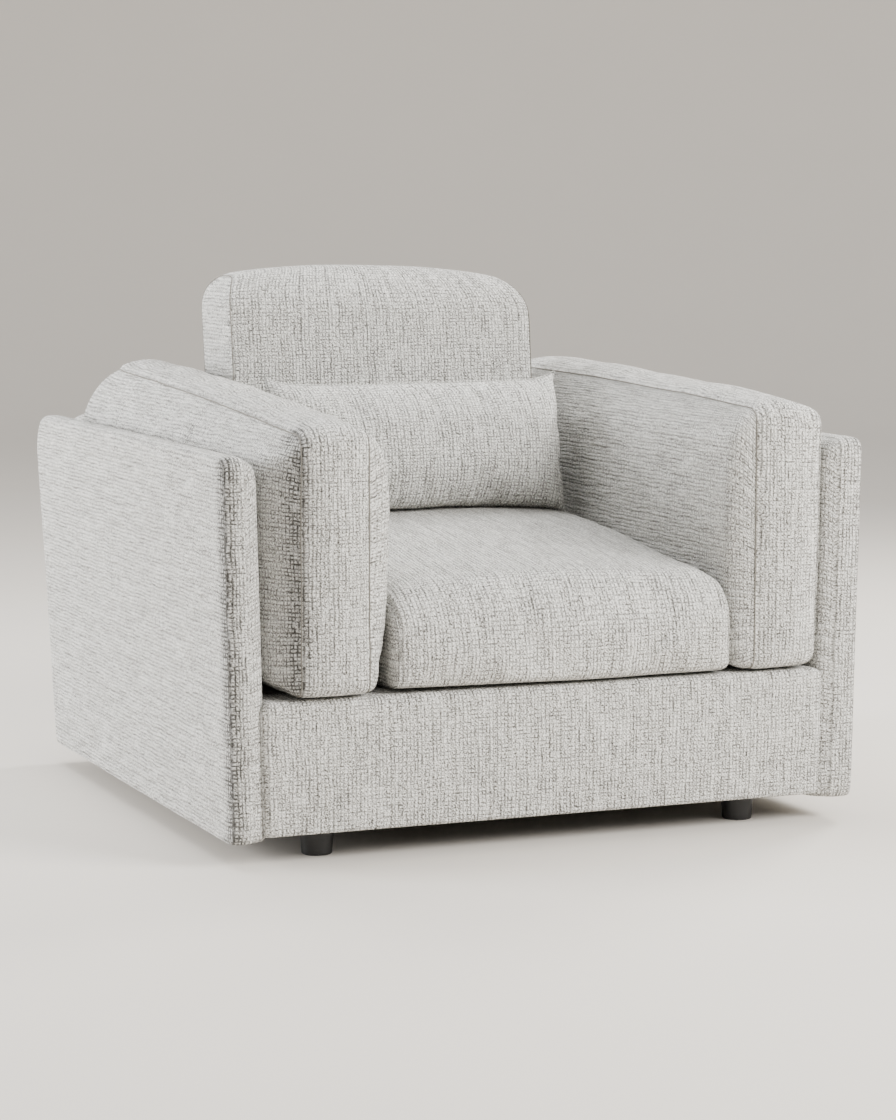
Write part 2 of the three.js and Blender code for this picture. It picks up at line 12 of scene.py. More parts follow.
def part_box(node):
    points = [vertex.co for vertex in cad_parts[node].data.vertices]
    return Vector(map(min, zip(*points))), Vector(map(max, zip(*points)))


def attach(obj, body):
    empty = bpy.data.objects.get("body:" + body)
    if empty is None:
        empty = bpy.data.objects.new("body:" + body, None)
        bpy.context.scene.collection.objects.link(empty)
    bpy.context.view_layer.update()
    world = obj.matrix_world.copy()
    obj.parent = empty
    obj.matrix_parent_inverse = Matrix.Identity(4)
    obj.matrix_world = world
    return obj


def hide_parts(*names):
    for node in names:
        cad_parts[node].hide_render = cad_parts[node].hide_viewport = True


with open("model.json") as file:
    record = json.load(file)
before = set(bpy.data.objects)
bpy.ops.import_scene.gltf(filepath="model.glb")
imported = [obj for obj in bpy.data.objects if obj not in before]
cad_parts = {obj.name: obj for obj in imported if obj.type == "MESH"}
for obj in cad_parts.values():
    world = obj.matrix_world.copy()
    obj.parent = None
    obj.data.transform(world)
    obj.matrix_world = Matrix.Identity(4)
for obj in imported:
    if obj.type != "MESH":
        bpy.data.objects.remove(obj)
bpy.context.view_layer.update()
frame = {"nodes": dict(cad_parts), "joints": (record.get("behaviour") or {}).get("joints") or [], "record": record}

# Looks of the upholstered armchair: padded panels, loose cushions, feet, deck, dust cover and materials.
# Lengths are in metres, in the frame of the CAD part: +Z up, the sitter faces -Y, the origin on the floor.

# ---------------------------------------------------------------- measures taken from the frame

MM = 0.001
SIDES = {"left": -1, "right": 1}

SHELL_LOW, SHELL_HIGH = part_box("arm_cover_right")
SHELL_THICKNESS = 57 * MM
FLARE = ((SHELL_HIGH.x - SHELL_LOW.x) - SHELL_THICKNESS) / (SHELL_HIGH.z - SHELL_LOW.z)
INNER_HALF = SHELL_LOW.x
FRONT = SHELL_LOW.y
SHELL_BOTTOM = SHELL_LOW.z
SHELL_TOP = SHELL_HIGH.z

BACK_JOINT = next(j for j in frame["joints"] if j["name"] == "back_cushion_lift")
RECLINE = BACK_JOINT["axis"][1] / BACK_JOINT["axis"][2]
BACK_LOW, BACK_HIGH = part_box("back_panel_cover")
REAR_BOTTOM = BACK_LOW.y + SHELL_THICKNESS
DECK_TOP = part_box("deck_pad")[1].z
CLEAR = 1.5 * MM


def rear_face(z):
    """Rear face of the back panel at height z."""
    return REAR_BOTTOM + RECLINE * (z - SHELL_BOTTOM)


# ---------------------------------------------------------------- node materials


class Graph:
    """Short calls for building the node tree of one material."""

    def __init__(self, name):
        self.material = bpy.data.materials.new(name)
        self.material.use_nodes = True
        self.tree = self.material.node_tree
        self.shader = self.tree.nodes["Principled BSDF"]

    def node(self, kind, inputs=None, **settings):
        made = self.tree.nodes.new(kind)
        for key, value in settings.items():
            setattr(made, key, value)
        for key, value in (inputs or {}).items():
            self.feed(made.inputs[key], value)
        return made

    def feed(self, socket, value):
        """Links a socket to an output, or sets it to a constant."""
        if isinstance(value, bpy.types.NodeSocket):
            self.tree.links.new(value, socket)
        else:
            socket.default_value = value

    def math(self, operation, first, second=0.0, third=0.0, clamp=False):
        values = {0: first, 1: second, 2: third}
        return self.node("ShaderNodeMath", values, operation=operation, use_clamp=clamp).outputs[0]

    def vector(self, operation, first, second):
        made = self.node("ShaderNodeVectorMath", {0: first}, operation=operation)
        self.feed(made.inputs["Scale" if operation == "SCALE" else 1], second)
        return made.outputs[0]

    def ramp(self, value, low, high, out_low=0.0, out_high=1.0):
        """Smooth step of a value from low to high."""
        inputs = {"Value": value, 1: low, 2: high, 3: out_low, 4: out_high}
        made = self.node("ShaderNodeMapRange", inputs, interpolation_type="SMOOTHSTEP")
        return made.outputs[0]

    def mix(self, factor, first, second, blend="MIX"):
        made = self.node("ShaderNodeMix", data_type="RGBA", blend_type=blend)
        self.feed(made.inputs["Factor"], factor)
        self.feed(made.inputs["A"], first)
        self.feed(made.inputs["B"], second)
        return made.outputs["Result"]

    def noise(self, vector, scale, detail=2.0, roughness=0.5):
        inputs = {"Vector": vector, "Scale": scale, "Detail": detail, "Roughness": roughness}
        return self.node("ShaderNodeTexNoise", inputs).outputs["Fac"]

    def set(self, **values):
        for key, value in values.items():
            self.feed(self.shader.inputs[key.replace("_", " ")], value)

    def bump(self, height, distance, strength=1.0):
        inputs = {"Height": height, "Distance": distance, "Strength": strength}
        self.feed(self.shader.inputs["Normal"], self.node("ShaderNodeBump", inputs).outputs["Normal"])


def srgb(red, green, blue):
    """A colour from 0-255 display values, as linear RGBA."""
    def linear(value):
        value /= 255
        return value / 12.92 if value <= 0.04045 else ((value + 0.055) / 1.055) ** 2.4
    return (linear(red), linear(green), linear(blue), 1.0)


# The weave: how far apart its ribs and its picks are, how much their spacing wanders (in yarns), and how the
# ridges of the yarns are drawn out (repeats to a metre).
RIB_PITCH = 5.8 * MM
PICK_PITCH = 5.6 * MM
YARN_UNEVENNESS = 0.9
RIDGE_STRETCH = (125.0, 13.0, 1.0)
WANDER = 5 * MM
JITTER = 2 * MM
WEAVE_DEPTH = 3 * MM


def weave_material():
    """Chunky plain weave of knobbly yarns: the panels' flat pattern, in metres, is in the UV map."""
    g = Graph("chunky_weave")
    uv = g.node("ShaderNodeUVMap", uv_map="weave").outputs["UV"]
    wander = g.node("ShaderNodeTexNoise", {"Vector": uv, "Scale": 26.0, "Detail": 1.0}).outputs["Color"]
    jitter = g.node("ShaderNodeTexNoise", {"Vector": uv, "Scale": 240.0, "Detail": 1.0}).outputs["Color"]

    def shifted(vector, by, amount):
        centred = g.vector("SUBTRACT", by, (0.5, 0.5, 0.5))
        return g.vector("ADD", vector, g.vector("SCALE", centred, amount))

    def pair(first, second):
        return g.node("ShaderNodeCombineXYZ", {0: first, 1: second}).outputs[0]

    def random_of(first, second):
        inputs = {"Vector": pair(first, second)}
        return g.node("ShaderNodeTexWhiteNoise", inputs, noise_dimensions="2D").outputs["Value"]

    def counted(position, pitch, seed):
        """How many yarns in a place lies, with some yarns thicker than others."""
        steps = g.math("DIVIDE", position, pitch)
        drift = g.noise(pair(g.math("MULTIPLY", steps, 0.37), seed), 1.0, 2.0)
        return g.math("MULTIPLY_ADD", drift, YARN_UNEVENNESS, steps)

    bent = shifted(shifted(uv, wander, WANDER), jitter, JITTER)
    parts = g.node("ShaderNodeSeparateXYZ", {0: bent})
    across = counted(parts.outputs[0], RIB_PITCH, 3.0)
    along = counted(parts.outputs[1], PICK_PITCH, 8.0)
    column, row = g.math("FLOOR", across), g.math("FLOOR", along)

    def gap_line(position, other, run, width, weakest, seed):
        """Dark line between two yarns, which fades in and out and breaks at each crossing."""
        border = g.math("ROUND", position)
        distance = g.math("ABSOLUTE", g.math("SUBTRACT", position, border))
        depth = g.ramp(distance, 0.0, width, 1.0, 0.0)
        place = pair(g.math("MULTIPLY_ADD", border, 7.31, seed), g.math("MULTIPLY", other, run))
        strength = g.ramp(g.noise(place, 1.0, 2.0, 0.8), 0.32, 0.68, weakest, 1.0)
        dotted = g.math("MULTIPLY_ADD", random_of(border, g.math("FLOOR", other)), 0.45, 0.5)
        return g.math("MULTIPLY", depth, g.math("MULTIPLY", strength, dotted))

    # The attribute below marks tight corners. There the gap lines go deeper and darker and the yarn colour darker:
    # painted shade in the crease, besides the weave opening at the bend.
    crease_shade = g.node("ShaderNodeAttribute", attribute_name="crease_shade").outputs["Fac"]
    rib_gap = gap_line(across, along, 0.18, 0.46, 0.58, 17.0)
    pick_gap = gap_line(along, across, 0.38, 0.40, 0.42, 53.0)
    gap_depth = g.math("MAXIMUM", rib_gap, pick_gap)
    gap_depth = g.math("MULTIPLY", gap_depth, g.math("MULTIPLY_ADD", crease_shade, 0.8, 0.95), clamp=True)
    knots = g.noise(uv, 430.0, 0.6, 0.7)
    ridge = g.noise(g.vector("MULTIPLY", bent, RIDGE_STRETCH), 1.0, 1.0)
    loft = g.math("MULTIPLY_ADD", random_of(column, row), 0.35, 0.65)
    body = g.math("MULTIPLY", g.math("SUBTRACT", 1.0, gap_depth), loft)
    height = g.math("MULTIPLY_ADD", knots, 1.2, g.math("MULTIPLY_ADD", ridge, 1.9, body))

    cloud = g.noise(uv, 9.0, 3.0)
    # The gap colour is painted shade in the hollows between the yarns. The light yarn colour, picked where ridges
    # and knots rise, is partly the yarns' own random tone and partly a painted highlight on their raised tops.
    yarn_light, yarn_mid, gap_shade_colour = srgb(252, 251, 246), srgb(130, 127, 120), srgb(54, 51, 46)
    tone_and_highlight = g.math("MULTIPLY_ADD", ridge, 0.30, g.math("SUBTRACT", knots, 0.15))
    yarn_colour = g.mix(g.ramp(tone_and_highlight, 0.26, 0.58), yarn_mid, yarn_light)
    colour = g.mix(g.math("MULTIPLY", gap_depth, 0.92), yarn_colour, gap_shade_colour)
    # Painted shade: at tight corners the colour darkens by up to a quarter.
    crease_darkening = g.math("MULTIPLY_ADD", crease_shade, -0.24, 1.0)
    shade = g.math("MULTIPLY", g.ramp(cloud, 0.3, 0.7, 0.975, 1.0), crease_darkening)
    grey = g.node("ShaderNodeCombineXYZ", {0: shade, 1: shade, 2: shade}).outputs[0]
    g.set(Base_Color=g.mix(1.0, colour, grey, "MULTIPLY"), Roughness=0.93)
    g.set(Specular_IOR_Level=0.15, Sheen_Weight=0.1, Sheen_Roughness=0.6)
    g.bump(height, WEAVE_DEPTH)
    return g.material


def plain_material(name, colour, roughness, metallic=0.0, grain=0.06, scale=60.0, bump=0.1 * MM, **extra):
    """A solid material with slight mottling and grain."""
    g = Graph(name)
    place = g.node("ShaderNodeTexCoord").outputs["Object"]
    mottle = g.noise(place, scale, 4.0, 0.6)
    fine = g.noise(place, scale * 9, 3.0, 0.6)
    darker = tuple(channel * (1 - 3 * grain) for channel in colour[:3]) + (1.0,)
    g.set(Base_Color=g.mix(g.ramp(mottle, 0.3, 0.7), darker, colour), Metallic=metallic)
    g.set(Roughness=g.ramp(fine, 0.2, 0.8, roughness * 0.88, min(1.0, roughness * 1.1)), **extra)
    g.bump(fine, bump, 0.7)
    return g.material


def timber_material():
    """Sawn softwood with growth rings drawn out along the boards."""
    g = Graph("sawn_softwood")
    place = g.node("ShaderNodeTexCoord").outputs["Object"]
    wobble = g.noise(g.vector("MULTIPLY", place, (1.0, 9.0, 6.0)), 3.0, 3.0)
    ring = g.math("SINE", g.math("MULTIPLY", wobble, 60.0))
    fibres = g.noise(g.vector("MULTIPLY", place, (8.0, 90.0, 90.0)), 5.0, 4.0)
    factor = g.math("MULTIPLY_ADD", ring, 0.3, g.math("MULTIPLY", fibres, 0.9), clamp=True)
    g.set(Base_Color=g.mix(factor, srgb(196, 158, 108), srgb(226, 196, 150)), Roughness=0.72)
    g.bump(fibres, 0.3 * MM, 0.6)
    return g.material


WEAVE = weave_material()
TIMBER = timber_material()
HARDBOARD = plain_material("hardboard", srgb(124, 92, 60), 0.7, grain=0.1, scale=150)
ZINC = plain_material("zinc_plated_steel", srgb(168, 170, 172), 0.34, metallic=1.0, grain=0.04, scale=220)
FOOT_BLACK = plain_material("black_satin_plastic", srgb(24, 24, 25), 0.42, grain=0.05, scale=300)
LINING = plain_material("lining_cloth", srgb(196, 192, 184), 0.95, grain=0.03, scale=400, bump=0.4 * MM)
DUST_CLOTH = plain_material("black_nonwoven", srgb(34, 34, 35), 0.9, grain=0.12, scale=500, bump=0.3 * MM)
# A darker cord for the seams: its colour paints shade into the seam's groove.
SHADED_SEAM_CORD = plain_material("seam_cord_painted_shade", srgb(132, 128, 120), 0.95, grain=0.12, scale=700)
STAGE = plain_material("pale_stage", srgb(222, 216, 207), 0.75, grain=0.004, scale=2.0)

# ---------------------------------------------------------------- mesh building


class Skin:
    """Points, faces and weave coordinates of one piece, gathered grid by grid."""

    def __init__(self):
        self.points = []
        self.faces = []
        self.uvs = []

    def add_points(self, points):
        """Adds points and gives their numbers, in the shape of the array."""
        points = np.asarray(points, float)
        first = len(self.points)
        self.points.extend(points.reshape(-1, 3).tolist())
        return np.arange(first, len(self.points)).reshape(points.shape[:-1])

    def add_grid(self, numbers, uv, flip=False):
        """Faces over a grid of point numbers, with the matching grid of weave coordinates."""
        rows, columns = numbers.shape
        for i in range(rows - 1):
            for j in range(columns - 1):
                corners = [(i, j), (i + 1, j), (i + 1, j + 1), (i, j + 1)]
                if flip:
                    corners.reverse()
                self.faces.append([int(numbers[c]) for c in corners])
                self.uvs.append([tuple(uv[c]) for c in corners])

    def add_face(self, numbers, flip=False):
        """One flat face round a ring of point numbers."""
        ring = [int(number) for number in numbers]
        if flip:
            ring.reverse()
        self.faces.append(ring)
        self.uvs.append([(0.0, 0.0)] * len(ring))

    def to_object(self, name, material):
        """The mesh object, with its weave coordinates and its material."""
        mesh = bpy.data.meshes.new(name)
        mesh.from_pydata(self.points, [], self.faces)
        layer = mesh.uv_layers.new(name="weave")
        flat = [number for face in self.uvs for pair in face for number in pair]
        layer.data.foreach_set("uv", flat)
        mesh.materials.append(material)
        mesh.polygons.foreach_set("use_smooth", [True] * len(mesh.polygons))
        mesh.update()
        made = bpy.data.objects.new(name, mesh)
        bpy.context.scene.collection.objects.link(made)
        return made


def volume(made):
    """Signed volume of a closed mesh, positive when its faces point outwards."""
    points = get_points(made)
    total = 0.0
    for polygon in made.data.polygons:
        ring = points[list(polygon.vertices)]
        for k in range(1, len(ring) - 1):
            total += float(np.dot(ring[0], np.cross(ring[k], ring[k + 1])))
    return total / 6


def face_outwards(made):
    if volume(made) < 0:
        made.data.flip_normals()
    return made


def get_points(made):
    points = np.empty(len(made.data.vertices) * 3)
    made.data.vertices.foreach_get("co", points)
    return points.reshape(-1, 3)


def get_normals(made):
    normals = np.empty(len(made.data.vertices) * 3)
    made.data.vertices.foreach_get("normal", normals)
    return normals.reshape(-1, 3)


def set_points(made, points):
    made.data.vertices.foreach_set("co", np.asarray(points, float).ravel())
    made.data.update()


def apply_modifier(made, kind, **settings):
    """Adds a modifier, sets it, and bakes it into the mesh."""
    modifier = made.modifiers.new(kind.lower(), kind)
    for key, value in settings.items():
        setattr(modifier, key, value)
    evaluated = made.evaluated_get(bpy.context.evaluated_depsgraph_get())
    mesh = bpy.data.meshes.new_from_object(evaluated)
    made.modifiers.remove(modifier)
    old = made.data
    made.data = mesh
    bpy.data.meshes.remove(old)
    made.data.name = made.name


def subdivide(made, seams=(), sharpness=0.6):
    """One level of smoothing that keeps the seams fairly crisp."""
    pairs = set()
    for seam in seams:
        for here, following in zip(seam, np.roll(seam, -1)):
            pairs.add((min(here, following), max(here, following)))
    crease = made.data.attributes.new("crease_edge", "FLOAT", "EDGE")
    for edge in made.data.edges:
        if tuple(sorted(edge.vertices)) in pairs:
            crease.data[edge.index].value = sharpness
    apply_modifier(made, "SUBSURF", levels=1, render_levels=1)
    left = made.data.attributes.get("crease_edge")
    if left is not None:
        made.data.attributes.remove(left)


def rounded_corner(corner, before, after, radius, steps=10):
    """Points of an arc of that radius inside a corner, from the side of before to that of after."""
    corner, before, after = (np.array(p, float) for p in (corner, before, after))
    to_before = (before - corner) / np.linalg.norm(before - corner)
    to_after = (after - corner) / np.linalg.norm(after - corner)
    half_angle = math.acos(np.clip(to_before @ to_after, -1, 1)) / 2
    reach = radius / math.tan(half_angle)
    bisector = (to_before + to_after) / np.linalg.norm(to_before + to_after)
    centre = corner + bisector * radius / math.sin(half_angle)
    start = corner + to_before * reach - centre
    end = corner + to_after * reach - centre
    sweep = math.acos(np.clip(start @ end / radius ** 2, -1, 1))
    turns = np.linspace(0, sweep, steps + 1)
    return [centre + (math.sin(sweep - t) * start + math.sin(t) * end) / math.sin(sweep) for t in turns]


def resample(line, count):
    """The polyline as count + 1 points, evenly spaced along it."""
    line = np.asarray(line, float)
    lengths = np.concatenate([[0], np.cumsum(np.linalg.norm(np.diff(line, axis=0), axis=1))])
    wanted = np.linspace(0, lengths[-1], count + 1)
    return np.stack([np.interp(wanted, lengths, line[:, k]) for k in range(line.shape[1])], axis=1)


def four_sides(corners, radii, counts):
    """The four sides of a rounded outline, each from the middle of one corner's round to the next one's."""
    arcs = []
    for i in range(4):
        arcs.append(rounded_corner(corners[i], corners[i - 1], corners[(i + 1) % 4], radii[i]))
    sides = []
    for i in range(4):
        here, following = arcs[i], arcs[(i + 1) % 4]
        middle = len(here) // 2
        sides.append(resample(here[middle:] + following[: middle + 1], counts[i % 2]))
    return sides


def coons(bottom, rear, top, front):
    """A grid that fills four sides. bottom and top run from front to rear, front and rear run upwards."""
    s = np.linspace(0, 1, len(bottom))[:, None, None]
    t = np.linspace(0, 1, len(front))[None, :, None]
    ruled = (1 - t) * bottom[:, None] + t * top[:, None] + (1 - s) * front[None] + s * rear[None]
    corners = (
        (1 - s) * (1 - t) * bottom[0] + s * (1 - t) * bottom[-1] + (1 - s) * t * top[0] + s * t * top[-1]
    )
    return ruled - corners


def quarter_round(distance, radius, power=2.0):
    """How far a padded face has risen at a distance from its seam, 0 to 1: square to the seam at first."""
    x = np.clip(distance / radius, 0, 1)
    return (1 - (1 - x) ** power) ** (1 / power)


def slope_round(distance, radius):
    """The same for a face that leaves its seam at a slant."""
    return np.sin(np.pi / 2 * np.clip(distance / radius, 0, 1))


class Face:
    """How a side panel of a boxed form swells: its rise, over how wide a shoulder, and a dome in its middle.

    reach is the shoulder's width at the front, rear, bottom and top, as a share of the full one.
    """

    def __init__(self, rise, shoulder, dome=0.0, profile=quarter_round, reach=(1, 1, 1, 1)):
        self.rise, self.shoulder, self.dome = rise, shoulder, dome
        self.profile, self.reach = profile, reach


class BoxedForm:
    """A padded form: two side panels with the same outline, sewn to a band that runs round between them.

    The outline lies in a plane of local (p, q), and the band crosses it along r. faces are the side panels
    at the low and the high end of r. swell is how far the band rises between its seams: one value, or its
    values at the bottom, rear, top and front. The side panels' yarns run along p, the band's run round.
    """

    def __init__(self, corners, radii, span, cell, faces, swell, band_cells=None):
        self.span = span
        self.faces = faces
        self.swell = swell
        self.cell = cell
        size = np.ptp(np.array(corners), axis=0)
        self.counts = [max(4, round(size[0] / cell)), max(4, round(size[1] / cell))]
        sides = four_sides(corners, radii, self.counts)
        self.loop = np.concatenate([side[:-1] for side in sides])
        self.low = self.loop.min(0)
        self.size = np.ptp(self.loop, axis=0)
        self.band_cells = band_cells or max(4, round((span[1] - span[0]) / cell))
        self.skin = Skin()
        self.seams = [self.add_side(end) for end in (0, 1)]
        self.add_band()

    def inset_loop(self, face, inset):
        """The outline moved inwards, by as much on each side as the face's reach says."""
        share = (self.loop - self.low) / self.size
        front, rear, bottom, top = face.reach
        begin, finish = np.array([front, bottom]), np.array([rear, top])
        return self.loop + inset * (begin * (1 - share) - finish * share)

    def side_points(self, flat, r):
        r = np.broadcast_to(r, flat.shape[:-1])[..., None]
        return np.concatenate([flat, r], axis=-1)

    def add_side(self, end):
        """A side panel: rings that follow the seam, then a grid inside them. Gives the seam's points."""
        face, r, outward = self.faces[end], self.span[end], (-1, 1)[end]
        count = max(3, round(face.shoulder / self.cell) + 2)
        insets = face.shoulder * np.linspace(0, 1, count + 1) ** 1.5
        flat = np.array([self.inset_loop(face, inset) for inset in insets])
        heights = face.rise * face.profile(insets, face.shoulder)
        numbers = self.skin.add_points(self.side_points(flat, r + outward * heights[:, None]))
        closed = np.concatenate([numbers, numbers[:, :1]], axis=1)
        run = np.concatenate([[0], np.cumsum(np.hypot(np.diff(insets), np.diff(heights)))])
        cloth = np.array([self.inset_loop(face, insets[-1] - run[-1] + length) for length in run])
        flat_closed = np.concatenate([cloth, cloth[:, :1]], axis=1)
        self.skin.add_grid(closed, flat_closed[..., ::-1], flip=end == 1)
        self.fill(numbers[-1], flat[-1], r, outward, end)
        return numbers[0]

    def fill(self, ring_numbers, ring, r, outward, end):
        """The middle of a side panel, inside its innermost ring."""
        face = self.faces[end]
        n, m = self.counts
        closed = np.concatenate([ring, ring[:1]])
        bottom, rear = closed[0:n + 1], closed[n:n + m + 1]
        top, front = closed[n + m:2 * n + m + 1][::-1], closed[2 * n + m:][::-1]
        flat = coons(bottom, rear, top, front)
        s = np.sin(np.pi * np.linspace(0, 1, n + 1))[:, None]
        t = np.sin(np.pi * np.linspace(0, 1, m + 1))[None, :]
        grid = self.side_points(flat, r + outward * (face.rise + face.dome * s * t))
        numbers = np.empty((n + 1, m + 1), int)
        numbers[1:-1, 1:-1] = self.skin.add_points(grid[1:-1, 1:-1])
        closed_numbers = np.concatenate([ring_numbers, ring_numbers[:1]])
        numbers[:, 0] = closed_numbers[0:n + 1]
        numbers[-1, :] = closed_numbers[n:n + m + 1]
        numbers[:, -1] = closed_numbers[n + m:2 * n + m + 1][::-1]
        numbers[0, :] = closed_numbers[2 * n + m:][::-1]
        self.skin.add_grid(numbers, flat[..., ::-1], flip=end == 0)

    def outward_normals(self):
        following = np.roll(self.loop, -1, axis=0)
        before = np.roll(self.loop, 1, axis=0)
        tangent = following - before
        normal = np.stack([tangent[:, 1], -tangent[:, 0]], axis=1)
        return normal / np.linalg.norm(normal, axis=1)[:, None]

    def swell_along(self, normals):
        if np.isscalar(self.swell):
            return np.full(len(normals), self.swell)
        bottom, rear, top, front = self.swell
        p, q = normals.T
        across = np.where(p > 0, rear, front) * p ** 2
        return across + np.where(q > 0, top, bottom) * q ** 2

    def add_band(self):
        """The band, from the seam at the low end to the seam at the high end."""
        seams = self.seams
        k = self.band_cells
        turn = np.cos(np.pi * np.linspace(0, 1, k + 1))
        fractions = 0.5 - 0.5 * turn * (0.82 + 0.18 * np.abs(turn))
        heights = quarter_round(1 - np.abs(2 * fractions - 1), 1.0, 2.2)
        normals = self.outward_normals()
        swell = self.swell_along(normals)[:, None]
        rows = []
        for fraction, height in zip(fractions[1:-1], heights[1:-1]):
            r = self.span[0] + fraction * (self.span[1] - self.span[0])
            rows.append(self.side_points(self.loop + normals * swell * height, r))
        inner = self.skin.add_points(np.array(rows))
        numbers = np.concatenate([seams[0][None], inner, seams[1][None]])
        closed = np.concatenate([numbers, numbers[:, :1]], axis=1)
        steps = np.linalg.norm(np.roll(self.loop, -1, axis=0) - self.loop, axis=1)
        length = np.concatenate([[0], np.cumsum(steps)])
        across = np.interp(fractions, [0, 1], self.span)
        uv = np.stack(np.broadcast_arrays(across[:, None], length[None, :]), axis=-1)
        self.skin.add_grid(closed, uv, flip=True)

    def finish(self, name, material, place):
        """Makes the object; place turns rows of local (p, q, r) into rows of the frame's (x, y, z)."""
        made = self.skin.to_object(name, material)
        set_points(made, place(get_points(made)))
        return face_outwards(made)


def along_x(points):
    """Local (p, q, r) is (y, z, x)."""
    return points[:, [2, 0, 1]]


# ---------------------------------------------------------------- soft simulation

SIM_FRAMES = 20
SEAM_HOLD = 0.9


def inflate(made, cap, seams=(), held=None, slack=0.02, pressure=4.0):
    """Lets the cover swell as cloth under pressure, then keeps each point within cap of where it was.

    The seams and the points that held picks stay put. slack is how much longer the cloth is than the form.
    """
    start = get_points(made)
    group = made.vertex_groups.new(name="held")
    for seam in seams:
        group.add([int(number) for number in seam], SEAM_HOLD, "REPLACE")
    if held is not None:
        group.add([int(number) for number in np.nonzero(held(start))[0]], 1.0, "REPLACE")
    modifier = made.modifiers.new("cloth", "CLOTH")
    settings = modifier.settings
    settings.quality = 6
    settings.mass = 0.3
    settings.tension_stiffness = 25
    settings.compression_stiffness = 25
    settings.shear_stiffness = 8
    settings.bending_stiffness = 0.6
    settings.use_pressure = True
    settings.uniform_pressure_force = pressure
    settings.shrink_min = -slack
    settings.effector_weights.gravity = 0
    settings.vertex_group_mass = "held"
    modifier.collision_settings.use_collision = False
    scene = bpy.context.scene
    for step in range(1, SIM_FRAMES + 1):
        scene.frame_set(step)
    evaluated = made.evaluated_get(bpy.context.evaluated_depsgraph_get())
    mesh = evaluated.to_mesh()
    moved = np.empty(len(mesh.vertices) * 3)
    mesh.vertices.foreach_get("co", moved)
    evaluated.to_mesh_clear()
    made.modifiers.remove(modifier)
    made.vertex_groups.clear()
    scene.frame_set(1)
    shift = moved.reshape(-1, 3) - start
    length = np.linalg.norm(shift, axis=1)[:, None]
    set_points(made, start + shift * np.minimum(1, cap / np.maximum(length, 1e-9)))


# ---------------------------------------------------------------- seams


def ring_cord(name, line, radius, material, sides=6):
    """A thin round cord of cloth or thread along a closed line of points."""
    line = np.asarray(line, float)
    count = len(line)
    tangent = np.roll(line, -1, axis=0) - np.roll(line, 1, axis=0)
    tangent /= np.linalg.norm(tangent, axis=1)[:, None]
    up = np.cross(tangent[0], (0.3, 0.5, 0.81))
    frames = []
    for k in range(count):
        up = up - tangent[k] * (up @ tangent[k])
        up /= np.linalg.norm(up)
        frames.append((up.copy(), np.cross(tangent[k], up)))
    skin = Skin()
    angles = np.linspace(0, 2 * np.pi, sides, endpoint=False)
    rings = [
        [line[k] + radius * (math.cos(a) * frames[k][0] + math.sin(a) * frames[k][1]) for a in angles]
        for k in range(count)
    ]
    numbers = skin.add_points(np.array(rings))
    numbers = np.concatenate([numbers, numbers[:, :1]], axis=1)
    numbers = np.concatenate([numbers, numbers[:1]])
    round_line = np.concatenate([line, line[:1]])
    steps = np.concatenate([[0], np.cumsum(np.linalg.norm(np.diff(round_line, axis=0), axis=1))])
    around = np.linspace(0, 2 * np.pi * radius, sides + 1)
    uv = np.stack(np.broadcast_arrays(around[None, :], steps[:, None]), axis=-1)
    skin.add_grid(numbers, uv)
    return face_outwards(skin.to_object(name, material))


SEAM_RADIUS = 0.9 * MM
SEAM_DIP = 1.8 * MM
SEAM_DIP_WIDTH = 4.5 * MM


def sew(piece, names, seams, sharpness=0.6, cords=(None, None)):
    """Smooths the piece, then draws each seam: a shallow dip with the ridge of the sewn edges in it. The
    ridge's cord is by default of darker cloth, which paints shade into the seam.
    """
    subdivide(piece, seams, sharpness)
    points = get_points(piece)
    normals = get_normals(piece)
    for name, seam, cord in zip(names, seams, cords):
        loop = points[seam]
        line = resample(np.concatenate([loop, loop[:1]]), len(loop) * 4)[:-1]
        tree = KDTree(len(line))
        for number, place in enumerate(line):
            tree.insert(place, number)
        tree.balance()
        near = np.array([tree.find(place)[2] for place in points])
        dip = SEAM_DIP * np.exp(-(near / SEAM_DIP_WIDTH) ** 2)
        points -= normals * dip[:, None]
        outward = np.array([normals[number] for number in seam])
        ridge = ring_cord(name, loop - outward * SEAM_DIP * 0.55, SEAM_RADIUS, cord or SHADED_SEAM_CORD)
        ridge.parent = piece
    set_points(piece, points)


def open_weave_and_shade(piece, lines, width, strength=1.0):
    """Marks where the cloth turns a tight corner: the gaps between its yarns show more there, and the weave
    material paints shade there, with darker yarns and deeper, darker gaps.
    """
    tree = KDTree(sum(len(line) for line in lines))
    number = 0
    for line in lines:
        for place in line:
            tree.insert(place, number)
            number += 1
    tree.balance()
    near = np.array([tree.find(place)[2] for place in get_points(piece)])
    attribute = piece.data.attributes.new("crease_shade", "FLOAT", "POINT")
    attribute.data.foreach_set("value", strength * np.exp(-(near / width) ** 2))


# ---------------------------------------------------------------- pieces


def bind(piece, body, slot, *replaced, fill=None):
    """Attaches a piece to the body it rides on, and hides the CAD nodes it stands for. slot, its finish,
    and fill, how full its padding is, are not used.
    """
    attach(piece, body)
    if replaced:
        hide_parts(*replaced)
    return piece


def soften(piece, amount, size, seed):
    """Slow, uneven dents and swellings of a used cushion."""
    points = get_points(piece)
    normals = get_normals(piece)
    for number, place in enumerate(points):
        where = Vector(place) / size + Vector((seed, seed * 1.7, -seed))
        points[number] += normals[number] * amount * noise.noise(where)
    set_points(piece, points)


